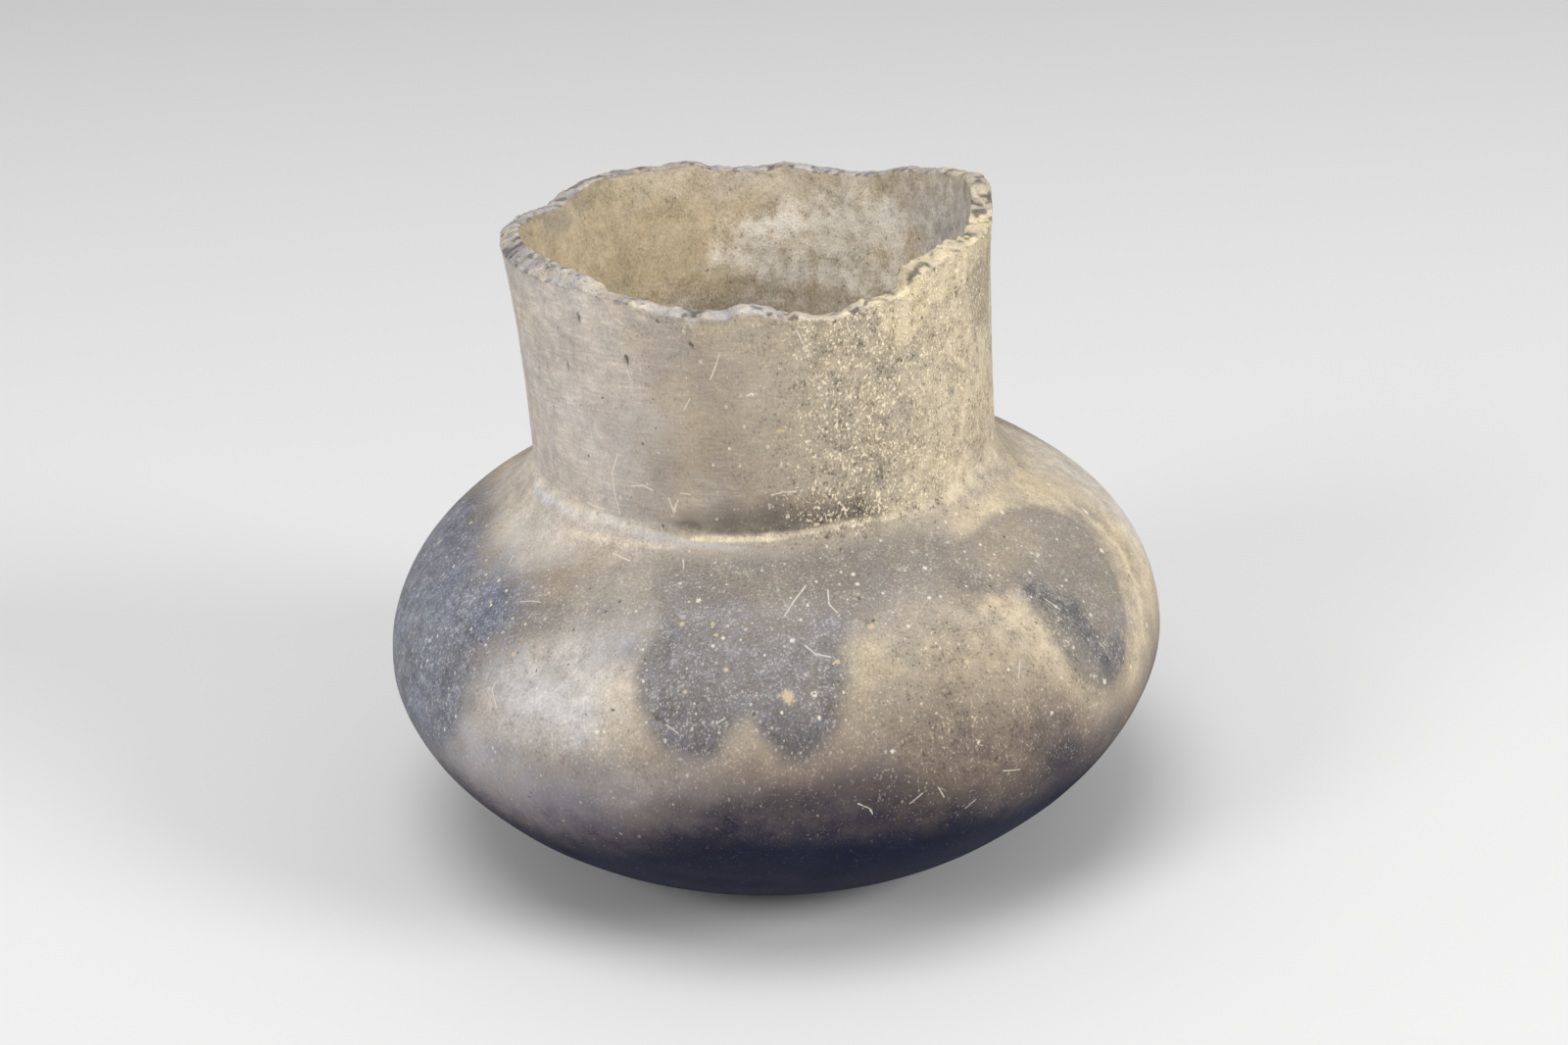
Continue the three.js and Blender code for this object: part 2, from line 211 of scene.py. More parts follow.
OUTLINE_DISTANCE, OUTLINE_RADIUS, OUTLINE_HEIGHT = body_outline()
OUTLINE_LENGTH = OUTLINE_DISTANCE[-1]
BELLY_ROW = int(np.argmax(OUTLINE_RADIUS))
FOOT_EDGE_LENGTH = np.interp(WIDE_FOOT_RADIUS, OUTLINE_RADIUS[:BELLY_ROW], OUTLINE_DISTANCE[:BELLY_ROW])
SEAT_ALONG = np.interp(-NECK_FOOT_RADIUS, -OUTLINE_RADIUS[BELLY_ROW:], OUTLINE_DISTANCE[BELLY_ROW:])
BODY_JOINTS = np.linspace(FOOT_EDGE_LENGTH + BASE_DISC_REACH, OUTLINE_LENGTH, len(BODY_COILS) + 1)
LOWEST_BREAK = min(min(row[1:]) for row in RIM_LINE) * MM
NECK_JOINTS = np.linspace(NECK_SEAT_HEIGHT, LOWEST_BREAK, len(NECK_COILS) + 1)


def wall_point(distance, depth):
    """Radius and height in the body's wall: a distance along the outline, moved in by a depth."""
    step = 0.2 * MM
    radius = np.interp(distance, OUTLINE_DISTANCE, OUTLINE_RADIUS)
    height = np.interp(distance, OUTLINE_DISTANCE, OUTLINE_HEIGHT)
    ends = np.stack([distance - step, distance + step])
    out = np.diff(np.interp(ends, OUTLINE_DISTANCE, OUTLINE_RADIUS), axis=0)[0]
    up = np.diff(np.interp(ends, OUTLINE_DISTANCE, OUTLINE_HEIGHT), axis=0)[0]
    length = np.hypot(out, up)
    narrowest = np.where(height > BELLY_HEIGHT, MOUTH_RADIUS, 0)
    return np.maximum(radius - depth * up / length, narrowest), height + depth * out / length


def neck_radius(height):
    """A parabola through the neck's radius at its foot, at its waist halfway up and at the rim."""
    t = (height - NECK_SEAT_HEIGHT) / (RIM_HEIGHT - NECK_SEAT_HEIGHT)
    return (NECK_FOOT_RADIUS * (1 - t) * (1 - 2 * t)
            + NECK_WAIST_RADIUS * 4 * t * (1 - t)
            + RIM_RADIUS * t * (2 * t - 1))


def tilt_at(height, seat_tilt, rim_tilt):
    """A tilt that grows evenly from the foot to the neck's seat and to the rim, and the drift it makes."""
    climb = height - NECK_SEAT_HEIGHT
    gain = (rim_tilt - seat_tilt) * climb / (RIM_HEIGHT - NECK_SEAT_HEIGHT)
    low_tilt = seat_tilt * height / NECK_SEAT_HEIGHT
    high_drift = seat_tilt * NECK_SEAT_HEIGHT / 2 + (seat_tilt + gain / 2) * climb
    is_low = height < NECK_SEAT_HEIGHT
    return np.where(is_low, low_tilt, seat_tilt + gain), np.where(is_low, low_tilt * height / 2, high_drift)


def place(radius, height, azimuth):
    """Points of a ring of a radius and height, tipped by the pot's lean, on its drifting centre line."""
    lean, drift = tilt_at(height, SEAT_LEAN, RIM_LEAN)
    lift, back_drift = tilt_at(height, BACK_LIFT, BACK_LIFT)
    sideways = radius * np.cos(azimuth)
    backwards = radius * np.sin(azimuth)
    return np.stack([
        sideways * np.cos(lean) - drift,
        backwards * np.cos(lift) - back_drift,
        height + sideways * np.sin(lean) + backwards * np.sin(lift),
    ], axis=-1)


AZIMUTH = np.linspace(0, 2 * np.pi, COLUMNS, endpoint=False)
DEGREES = np.degrees(AZIMUTH)


def ring_noise(cell_degrees, seed, layers=3):
    """Noise from -1 to 1 that goes round the pot and closes on itself, the same at every height."""
    circle = np.stack([np.cos(AZIMUTH), np.sin(AZIMUTH), np.zeros(COLUMNS)], axis=-1)
    return layered_noise(circle, math.radians(cell_degrees), seed, layers)


def spread_between(start, end, spacing, skip_first=True):
    """Evenly spaced values from start to end in each column, at the widest at most a spacing apart."""
    widest = float(np.max(np.abs(np.asarray(end) - np.asarray(start))))
    count = max(2, math.ceil(widest / spacing))
    shares = np.linspace(0, 1, count + 1)[1 if skip_first else 0:]
    return [start + (end - start) * share for share in shares]


def strip_edges():
    """The strip's lower edge, as a distance along the outline, and its upper edge, as a height."""
    spread = around(STRIP_LINE, 1, DEGREES) * (1 + 0.12 * ring_noise(9, 31))
    climb = around(STRIP_LINE, 2, DEGREES) * (1 + 0.1 * ring_noise(7, 37))
    return SEAT_ALONG - spread * MM, NECK_SEAT_HEIGHT + climb * MM


def rim_edges():
    """Heights of the break at the outer and the inner edge: the rim's line plus noises for the ragged line
    that a fracture leaves, stronger at the right of the front."""
    crumbled = smooth_step(289, 305, DEGREES) * (DEGREES < 352)
    ragged = (0.2 + 0.4 * crumbled) * ring_noise(2.2, 41) + 0.4 * ring_noise(6, 43, 2)
    outer = around(RIM_LINE, 1, DEGREES) + ragged + 0.15 * ring_noise(1.1, 47, 2)
    inner = around(RIM_LINE, 2, DEGREES) + ragged + 0.2 * ring_noise(1.3, 53, 2)
    return outer * MM, inner * MM


STRIP_LOW, STRIP_TOP = strip_edges()
RIM_OUTER, RIM_INNER = rim_edges()


def up_the_neck(height):
    """The distance along the wall at a height in the neck."""
    return SEAT_ALONG + height - NECK_SEAT_HEIGHT


class Rows:
    """Collects rows of the skin and remembers which rows each named stretch holds. along is the distance up
    the wall, which goes on up the neck. It is the same at the same height inside and outside the wall."""

    def __init__(self):
        self.radius = []
        self.height = []
        self.along = []
        self.stretches = {}

    def add(self, name, radius, height, along):
        """Adds rows under a name. A stretch starts with the last row of the one before it."""
        first = max(len(self.radius) - 1, 0)
        for values, new in ((self.radius, radius), (self.height, height), (self.along, along)):
            values.extend(np.broadcast_to(row, COLUMNS) for row in new)
        self.stretches[name] = (first, len(self.radius) - 1)


def add_outside(rows):
    """The underside, the body's coils, the strip's face, and the neck's coils up to the break."""
    radii = spread_between(POLE_RADIUS, FLAT_RADIUS, FLAT_ROW, skip_first=False)
    rows.add("underside", radii, [0.0] * len(radii), [radius - FLAT_RADIUS for radius in radii])
    edges = [0.0, *BODY_JOINTS[:-1], STRIP_LOW]
    for name, start, end in zip(["base_disc", *BODY_COILS], edges[:-1], edges[1:]):
        distances = spread_between(start, end, BODY_ROW)
        points = [wall_point(distance, 0) for distance in distances]
        rows.add(name, [p[0] for p in points], [p[1] for p in points], distances)

    low_radius, low_height = wall_point(STRIP_LOW, 0)
    top_radius = neck_radius(STRIP_TOP)
    corner_radius = NECK_FOOT_RADIUS + STRIP_CORNER_OUT * (low_radius - NECK_FOOT_RADIUS)
    corner_height = NECK_SEAT_HEIGHT + STRIP_CORNER_UP * (STRIP_TOP - NECK_SEAT_HEIGHT)
    shares = np.linspace(0, 1, STRIP_ROWS + 1)[1:]
    rows.add(
        "neck_luting_strip",
        [curve_between(low_radius, corner_radius, top_radius, t) for t in shares],
        [curve_between(low_height, corner_height, STRIP_TOP, t) for t in shares],
        [STRIP_LOW + (up_the_neck(STRIP_TOP) - STRIP_LOW) * t for t in shares],
    )
    edges = [STRIP_TOP, NECK_JOINTS[1], NECK_JOINTS[2], RIM_OUTER]
    for name, start, end in zip(NECK_COILS, edges[:-1], edges[1:]):
        heights = spread_between(start, end, NECK_ROW)
        rows.add(name, [neck_radius(z) for z in heights], heights, [up_the_neck(z) for z in heights])


def add_lip(rows):
    """The broken lip, from the outer to the inner edge, with rows close together at both edges. Its height
    is a straight line between the edges plus wear x (1 - (2 t - 1)^4), which rounds its corners over."""
    wear = (0.6 + 0.3 * ring_noise(5, 61, 2)) * MM
    shares = [(1 - math.cos(math.pi * step / LIP_ROWS)) / 2 for step in range(1, LIP_ROWS + 1)]
    heights = [RIM_OUTER + (RIM_INNER - RIM_OUTER) * t + wear * (1 - (2 * t - 1) ** 4) for t in shares]
    radii = [neck_radius(z) - NECK_WALL * t for z, t in zip(heights, shares)]
    rows.add("lip", radii, heights, [up_the_neck(z) for z in heights])


def add_inside(rows):
    """The neck's inner wall, the body's inner wall from the mouth's edge down, and the floor. The floor's
    edge rises as wall height + (floor height - wall height) x (1 - (1 - t)^2)."""
    edges = [RIM_INNER, NECK_JOINTS[2] + COIL_LAP, NECK_JOINTS[1] + COIL_LAP, MOUTH_HEIGHT]
    for name, start, end in zip(NECK_COILS[::-1], edges[:-1], edges[1:]):
        heights = spread_between(start, end, INNER_NECK_ROW)
        radii = [neck_radius(z) - NECK_WALL for z in heights]
        rows.add(name + " inside", radii, heights, [up_the_neck(z) for z in heights])
    edges = [OUTLINE_LENGTH, *(BODY_JOINTS[-2:0:-1] + COIL_LAP), BODY_JOINTS[0] + COIL_LAP]
    for name, start, end in zip(BODY_COILS[::-1], edges[:-1], edges[1:]):
        distances = spread_between(start, end, INNER_BODY_ROW, skip_first=name != BODY_COILS[-1])
        points = [wall_point(distance, BODY_WALL) for distance in distances]
        rows.add(name + " inside", [p[0] for p in points], [p[1] for p in points], distances)
    last_radius, last_height = wall_point(BODY_JOINTS[0] + COIL_LAP, BODY_WALL)
    shares = np.linspace(0, 1, FLOOR_EDGE_ROWS + 1)[1:]
    radii = [last_radius + (FLAT_RADIUS - last_radius) * t for t in shares]
    heights = [last_height + (BASE_THICKNESS - last_height) * (1 - (1 - t) ** 2) for t in shares]
    flat = spread_between(FLAT_RADIUS, POLE_RADIUS, FLAT_ROW)
    radii += flat
    heights += [BASE_THICKNESS] * len(flat)
    rows.add("base_disc inside", radii, heights, [0.0] * len(radii))


def grid_normals(points):
    """Outward unit normals of the grid: the cross product of the steps round the pot and along the rows."""
    round_step = np.roll(points, -1, axis=1) - np.roll(points, 1, axis=1)
    row_step = np.gradient(points, axis=0)
    normals = np.cross(round_step, row_step)
    return normals / np.maximum(np.linalg.norm(normals, axis=-1, keepdims=True), 1e-12)


ROWS = Rows()
add_outside(ROWS)
add_lip(ROWS)
add_inside(ROWS)
RADIUS = np.array(ROWS.radius)
HEIGHT = np.array(ROWS.height)
ALONG = np.array(ROWS.along) / MM
SMOOTH_SKIN = place(RADIUS, HEIGHT, AZIMUTH)

# On the neck, the distance along the wall is the height plus this many millimetres
NECK_SHIFT = (SEAT_ALONG - NECK_SEAT_HEIGHT) / MM


class Wall:
    """A stretch of the skin's rows on which marks are laid. A mark's place is an azimuth in degrees and, in
    millimetres, the distance along the wall, or the height if by_height is set."""

    def __init__(self, first, last, by_height=False):
        self.rows = slice(ROWS.stretches[first][0], ROWS.stretches[last][1] + 1)
        self.points = SMOOTH_SKIN[self.rows] / MM
        self.along = ALONG[self.rows] - (NECK_SHIFT if by_height else 0)
        self.per_degree = math.radians(1) * RADIUS[self.rows] / MM
        self.shape = self.along.shape
        self.weight = np.ones(self.shape)

    def noise(self, cell, seed, layers=3):
        """Layered noise from -1 to 1 with cells of that many millimetres."""
        return layered_noise(self.points, cell, seed, layers)

    def streaks(self, length, height, seed):
        """Noise drawn out level round the pot, as a wiping hand leaves it."""
        return layered_noise(self.points / (length, length, height), 1, seed, 2)

    def turn(self, azimuth):
        """Degrees from an azimuth to each column, the short way round."""
        return (DEGREES - azimuth + 180) % 360 - 180

    def distances(self, path, closed=False):
        """Distance in millimetres to a path and, if the path is closed, whether a point is inside it."""
        middle = sum(azimuth for azimuth, _ in path) / len(path)
        x = self.turn(middle) * self.per_degree
        y = self.along
        nearest = np.full(self.shape, np.inf)
        inside = np.zeros(self.shape, dtype=bool)
        ends = path[1:] + path[:1] if closed else path[1:]
        for (start_azimuth, y0), (end_azimuth, y1) in zip(path, ends):
            x0 = (start_azimuth - middle) * self.per_degree
            step_x = (end_azimuth - start_azimuth) * self.per_degree
            step_y = y1 - y0
            share = ((x - x0) * step_x + (y - y0) * step_y) / np.maximum(step_x**2 + step_y**2, 1e-9)
            share = np.clip(share, 0, 1)
            nearest = np.minimum(nearest, np.hypot(x - x0 - share * step_x, y - y0 - share * step_y))
            if closed and y0 != y1:
                crosses = (y0 > y) != (y1 > y)
                inside ^= crosses & (x < x0 + step_x * (y - y0) / step_y)
        return nearest, inside

    def patch(self, outline, soft, wander, cell, seed):
        """1 inside a closed outline and 0 outside, over a soft edge that wanders in and out."""
        nearest, inside = self.distances(outline, closed=True)
        depth = np.where(inside, nearest, -nearest)
        return smooth_step(-soft / 2, soft / 2, depth + wander * self.noise(cell, seed, 4))

    def stroke(self, path, width, soft, wander, cell, seed):
        """1 along a path of the given width, and 0 away from it."""
        nearest, _ = self.distances(path)
        nearest = nearest + wander * self.noise(cell, seed)
        return 1 - smooth_step((width - soft) / 2, (width + soft) / 2, nearest)

    def spot(self, azimuth, along, across, up=None):
        """A round or oval mound: exp(-2.5 x the squared distance from its middle, in radii)."""
        x = self.turn(azimuth) * self.per_degree / across
        y = (self.along - along) / (up or across)
        return np.exp(-2.5 * (x * x + y * y))

    def above(self, line, soft, wander, cell, seed):
        """1 above a line round the pot, given as azimuths and distances, and 0 below it."""
        height = self.along - around(line, 1, DEGREES)
        return smooth_step(-soft / 2, soft / 2, height + wander * self.noise(cell, seed))


BODY = Wall("underside", "neck_luting_strip")
JOINT = Wall("shoulder_coil_3", "neck_coil_1")
NECK = Wall("neck_luting_strip", "rim_coil", by_height=True)
LIP = Wall("lip", "lip", by_height=True)
INNER_NECK = Wall("rim_coil inside", "neck_coil_1 inside", by_height=True)
INNER_BODY = Wall("shoulder_coil_3 inside", "base_disc inside")

# The strip is part of both the body and the neck: up its face the body's marks give way to the neck's
CLIMBED = np.linspace(0, 1, STRIP_ROWS + 1)[:, None]
BODY.weight[-STRIP_ROWS - 1:] = 1 - CLIMBED
NECK.weight[:STRIP_ROWS + 1] = CLIMBED

# Millimetres above the break, outside and inside the neck: negative below it
ABOVE_RIM = NECK.along - RIM_OUTER / MM
ABOVE_INNER_RIM = INNER_NECK.along - RIM_INNER / MM

# The face of the break has small crumbs and broader chips, and painted shade darkens their hollows
LIP_CRUMBS = LIP.noise(1.9, 67, 2)
LIP_CHIPS = LIP.noise(5.4, 59, 3)


def crust_patch(wall):
    """The thin yellow crust high on the right of the neck, below the break."""
    outline = [(296, 175), (298, 153), (301, 148), (306, 145), (311, 146), (315, 150), (321, 152),
               (328, 152), (336, 155), (343, 156), (350, 160), (352, 175)]
    return wall.patch(outline, 1.6, 3.4, 5, 71)


def grain_patch(wall):
    """The granular side of the neck: none left of 256 degrees, full from 290 to 326, easing off behind
    and smooth at the foot on the right."""
    turn = wall.turn(308) + 5 * wall.noise(14, 73)
    eased = (1 - 0.15 * smooth_step(18, 34, turn)) * (1 - smooth_step(60, 105, turn))
    smooth_foot = smooth_step(10, 26, turn) * (1 - smooth_step(104, 113, wall.along))
    return smooth_step(-52, -17, turn) * eased * (1 - smooth_foot)


# Small shapes in the wall, in degrees and millimetres. A pit or pellet is its azimuth, its distance up the
# wall, its radius, and its depth or height. A nick in the neck is its azimuth, its height, and its radii
# across and up.
PITS = [(253, 107, 0.9, 0.7), (286, 127, 1.3, 0.7), (236, 92, 0.7, 0.4), (312, 130, 0.6, 0.4),
        (300, 88, 0.8, 0.4), (206, 112, 0.7, 0.4), (60, 120, 1.0, 0.6), (120, 98, 1.1, 0.6),
        (20, 104, 0.8, 0.5), (160, 118, 0.7, 0.4)]
PELLETS = [(271, 112, 1.9, 0.45), (185, 121, 1.6, 0.3), (323, 129, 1.1, 0.25), (75, 108, 1.6, 0.35)]
NICKS = [(228.5, 156, 0.7, 1.5), (240.5, 147.5, 0.6, 1.3), (222, 143, 0.45, 1.5), (308.5, 149, 0.6, 0.7),
         (304.5, 141, 0.6, 0.6), (256.5, 152, 0.5, 0.8), (40, 132, 0.6, 1.4), (120, 147, 0.5, 1.5)]
NICK_DEPTH = 0.9


def relief():
    """How far the clay stands out from its even shape at every point of the skin: a sum of noises, each
    strength x noise, and of the mounds of pits, pellets and nicks."""
    points = SMOOTH_SKIN / MM
    rise = 0.34 * layered_noise(points, 38, 3, 2) + 0.1 * layered_noise(points, 11, 5, 2)
    rise[BODY.rows] += 0.035 * BODY.streaks(26, 3.2, 7)
    for azimuth, along, radius, depth in PITS:
        rise[BODY.rows] -= depth * BODY.spot(azimuth, along, radius)
    for azimuth, along, radius, height in PELLETS:
        rise[BODY.rows] += height * BODY.spot(azimuth, along, radius)

    grain = grain_patch(NECK)
    on_neck = 0.07 * NECK.streaks(30, 3.4, 11) * (1 - grain)
    on_neck += grain * (0.16 * NECK.noise(1.7, 13, 2) + 0.14 * NECK.noise(4.5, 17, 2))
    on_neck += crust_patch(NECK) * (0.3 + 0.3 * NECK.noise(2.4, 19, 2) + 0.35 * NECK.noise(6, 23, 2))
    for azimuth, height, across, up in NICKS:
        on_neck -= NICK_DEPTH * NECK.spot(azimuth, height, across, up)
    near_rim = smooth_step(-9, 0, ABOVE_RIM)
    on_neck += near_rim * 0.16 * NECK.noise(3, 29, 2)
    rise[NECK.rows] += on_neck * NECK.weight

    rise[LIP.rows] += 0.45 * LIP_CHIPS
    rise[LIP.rows] += (0.42 + 0.4 * LIP.noise(9, 63) + 0.3 * crust_patch(LIP)) * LIP_CRUMBS
    near_rim = smooth_step(-14, -2, ABOVE_INNER_RIM)
    rise[INNER_NECK.rows] += 0.14 * INNER_NECK.noise(7, 83)
    rise[INNER_NECK.rows] += (0.06 + 0.12 * near_rim) * INNER_NECK.noise(2.4, 89, 2)
    return rise * MM


SKIN = SMOOTH_SKIN + grid_normals(SMOOTH_SKIN) * relief()[..., None]
SKIN[:, :, 2] = np.maximum(SKIN[:, :, 2], 0)
SKIN[:ROWS.stretches["underside"][1] + 1, :, 2] = 0
NORMALS = grid_normals(SKIN)


class Mark:
    """One kind of mark on the clay: its strength, 0 to 1, at every point of the skin."""

    def __init__(self):
        self.strength = np.zeros(RADIUS.shape)

    def lay(self, wall, strength):
        """Lays a mark on a wall where it is stronger than what is there."""
        self.strength[wall.rows] = np.maximum(self.strength[wall.rows], strength * wall.weight)

    def patch(self, wall, strength, *patch):
        """Lays a patch of the given strength."""
        self.lay(wall, strength * wall.patch(*patch))

    def stroke(self, wall, strength, *stroke):
        """Lays a stroke of the given strength."""
        self.lay(wall, strength * wall.stroke(*stroke))


# The clouds on the body: outlines, dark edges and cores, and the pale haloes round them, each as azimuths
# and distances up the wall
FRONT_EDGES = [[(254, 126), (253, 114), (254.5, 105),
                (258.5, 100.5)], [(278, 122), (277.5, 112), (275, 101)]]
FRONT_CLOUD = [(247, 158), (248, 140), (249.5, 128), (250, 118), (250.5, 110), (252, 104), (255, 99),
               (259, 97), (262, 98.5), (264, 103), (266.5, 106.5), (268.5, 103), (271, 97.5), (273.5, 95.5),
               (275.5, 97.5), (277.5, 102), (279, 108), (280, 114), (280.5, 121), (283, 127), (287, 131),
               (293, 136), (299, 142), (302, 158)]
LEFT_CLOUD = [(140, 84), (144, 104), (152, 122), (162, 131), (176, 135), (192, 134.5), (206, 132),
              (216, 129), (224, 126), (224, 118), (221, 111), (220, 103), (220.5, 95), (219, 86), (214, 79),
              (200, 76), (170, 76)]
LEFT_CLOUD_TAIL = [(214, 132), (224, 131), (234, 134), (243, 138), (247, 133), (244, 127), (236, 124),
                   (228, 121), (219, 113)]
HOOK_CLOUD = [(315, 124), (314.5, 114), (315.8, 104), (318, 96), (321, 91.5), (324, 90), (327.5, 92),
              (330.5, 97), (334, 104), (337.5, 111), (340, 118), (341.5, 125), (340.5, 133), (337, 138),
              (331, 141.5), (324, 143), (316, 142.5), (309, 141), (304, 137), (303, 131), (306, 126),
              (311, 124)]
HOOK_CORE = [(317, 122), (321, 112), (323, 103), (324.5, 98), (327, 96.5)]
HOOK_HALO = [(309, 121), (311.5, 114), (312.5, 106), (314.5, 98), (317.5, 91), (322, 86.5), (327, 86),
             (332, 89.5), (336, 95), (340, 102), (343.5, 110), (345.5, 119), (346, 128), (343.5, 136),
             (337, 142), (328, 146), (316, 146.5), (306, 145)]
FRONT_HALO = [(247, 110), (249, 102), (252.5, 96.5), (257, 93.5), (261, 94.5), (264.5, 99.5), (267, 101),
              (269.5, 95.5), (273, 91.5), (277, 94), (280, 101), (282, 110), (284, 120)]
BACK_CLOUDS = [
    [(20, 88), (14, 104), (18, 120), (30, 130), (44, 131), (52, 122), (50, 110), (58, 98), (52, 88),
     (38, 82)],
    [(78, 100), (74, 116), (80, 132), (94, 141), (112, 138), (120, 126), (116, 112), (104, 106), (96, 94),
     (84, 92)],
]


def soot_mark():
    """Smoky fire clouds, where smouldering fuel lay on the clay, thin smudges and spots on the break."""
    mark = Mark()
    paler_top = 1 - 0.4 * BODY.above([(0, 127)], 24, 4, 12, 5)
    front = BODY.patch(FRONT_CLOUD, 5, 3.5, 8, 101)
    mark.lay(BODY, 0.8 * paler_top * front)
    for path in FRONT_EDGES:
        mark.stroke(BODY, 0.95 * front, path, 9, 12, 3, 6, 102)
    fading = 0.5 + 0.5 * smooth_step(146, 182, DEGREES)
    mark.patch(BODY, 0.9 * fading, LEFT_CLOUD, 15, 7, 12, 103)
    mark.patch(BODY, 0.55, LEFT_CLOUD_TAIL, 12, 6, 9, 105)
    hook = BODY.patch(HOOK_CLOUD, 2.6, 1.4, 7, 107)
    mark.lay(BODY, 0.56 * hook)
    mark.stroke(BODY, 0.98 * hook, HOOK_CORE, 12, 11, 2, 5, 109)
    for number, outline in enumerate(BACK_CLOUDS):
        mark.patch(BODY, 0.5, outline, 14, 8, 14, 113 + number)
        mark.patch(BODY, 0.85, outline[:6], 12, 6, 8, 117 + number)
    mark.patch(BODY, 0.8, [(309, 85), (313, 86), (316, 80), (315, 74), (309, 75)], 5, 3, 5, 121)
    smudges = smooth_step(0.05, 0.6, BODY.noise(15, 123)) + smooth_step(0.15, 0.7, BODY.noise(6, 124))
    mark.lay(BODY, 0.2 * smudges)
    grey_band = [(244, 165), (246, 138), (260, 128), (285, 128), (312, 134), (318, 165)]
    mark.patch(BODY, 0.62, grey_band, 18, 6, 12, 127)
    mark.patch(BODY, 0.3, [(214, 142), (218, 130), (246, 128), (252, 145)], 12, 6, 10, 131)
    swirl = [(239.5, 116.6), (240.6, 119.4), (243, 120.2), (244.4, 118.4), (243.2, 116.4), (241.6, 117)]
    mark.stroke(BODY, 0.3, swirl, 0.8, 2, 0.5, 3, 133)
    mark.lay(BODY, 0.34 * BODY.spot(229, 91, 9, 5) + 0.3 * BODY.spot(249, 88, 7, 4))
    mark.strength[BODY.rows] *= 1 + 0.18 * BODY.noise(13, 137, 4)
    spots = smooth_step(-0.1, 0.4, LIP.noise(3, 317) + 0.6 * LIP.noise(1.2, 331) - 0.25 * grain_patch(LIP))
    mark.lay(LIP, 0.38 * spots)
    return mark


# Below this line, in azimuths and distances up the wall, painted shade darkens the body
PAINTED_SHADE_LINE = [(0, 92), (60, 98), (110, 90), (160, 84), (200, 80), (214, 79), (230, 82), (244, 90),
             (256, 100), (268, 103), (280, 104), (296, 107), (308, 102), (318, 88), (330, 84), (345, 86)]
# Below this line the body is blackened, by soot and by painted shade
SCORCH_AND_SHADE_LINE = [(0, 74), (40, 68), (80, 76), (120, 70), (160, 69), (200, 70), (220, 68), (235, 70),
               (248, 76), (258, 82), (268, 84), (278, 84), (288, 80), (300, 75), (312, 75), (325, 73),
               (340, 75)]


def painted_shade_mark():
    """A thin painted shade that thickens towards the foot."""
    mark = Mark()
    mark.lay(BODY, 1 - BODY.above(PAINTED_SHADE_LINE, 34, 5, 14, 143))
    return mark


def scorch_and_shade_mark():
    """The blackened lower body: soot, deepened by painted shade and given a navy cast by a painted
    reflection of blue light, and painted shade over the body's inside.
    """
    mark = Mark()
    mark.lay(BODY, 1 - BODY.above(SCORCH_AND_SHADE_LINE, 27, 6, 14, 139))
    # Painted shade over the body's inside
    mark.lay(INNER_BODY, 0.55 + 0.2 * INNER_BODY.noise(20, 141))
    return mark


def buff_mark():
    """Yellow-buff clay that burned clean in the open flame: haloes round the clouds, the right side, the
    neck and its break, and blotches inside it."""
    mark = Mark()
    mark.stroke(BODY, 0.68, HOOK_HALO[:9], 6, 10, 2, 7, 149)
    mark.stroke(BODY, 0.75, HOOK_HALO[8:14], 3, 6, 1.2, 7, 150)
    mark.stroke(BODY, 0.2, FRONT_HALO, 4, 8, 1.6, 6, 151)
    tan_field = [(280, 90), (282, 108), (285, 120), (292, 124), (303, 122), (311, 120), (313, 108),
                 (313, 96), (309, 86), (300, 82), (288, 83)]
    mark.patch(BODY, 0.06, tan_field, 14, 6, 9, 157)
    right_side = [(333, 148), (344, 138), (349, 122), (347, 105), (342, 90), (352, 86), (362, 94),
                  (372, 112), (378, 130), (384, 160), (330, 162)]
    mark.patch(BODY, 0.5, right_side, 12, 5, 12, 163)
    left_top = [(190, 142), (198, 137), (212, 133), (220, 138), (226, 148), (200, 152)]
    mark.patch(BODY, 0.5, left_top, 12, 4, 8, 165)
    under_crust = [(300, 165), (301, 152), (310, 144), (324, 143), (336, 141), (342, 132), (352, 126),
                   (352, 165)]
    mark.patch(BODY, 0.7, under_crust, 9, 1.5, 14, 167)
    back_field = [(56, 150), (60, 120), (70, 96), (110, 92), (130, 110), (136, 140), (120, 156)]
    mark.patch(BODY, 0.45, back_field, 18, 8, 14, 169)
    for number, outline in enumerate(BACK_CLOUDS):
        mark.stroke(BODY, 0.45, [*outline, outline[0]], 8, 12, 4, 10, 171 + number)
    turn = NECK.turn(320) + 6 * NECK.noise(12, 175)
    right_side = smooth_step(-26, 4, turn) * (1 - 0.7 * smooth_step(40, 90, turn))
    mark.lay(NECK, 0.45 * grain_patch(NECK) + 0.3 * right_side)
    mark.lay(NECK, 0.1 + 0.2 * NECK.noise(16, 173))
    mark.lay(NECK, crust_patch(NECK))
    mark.lay(LIP, 0.25 + 0.5 * LIP.noise(3, 179) + 0.6 * grain_patch(LIP))
    mark.lay(INNER_NECK, 0.2 + 0.35 * INNER_NECK.noise(9, 181))
    mark.strength[BODY.rows] *= 1 + 0.15 * BODY.noise(8, 187)
    return mark


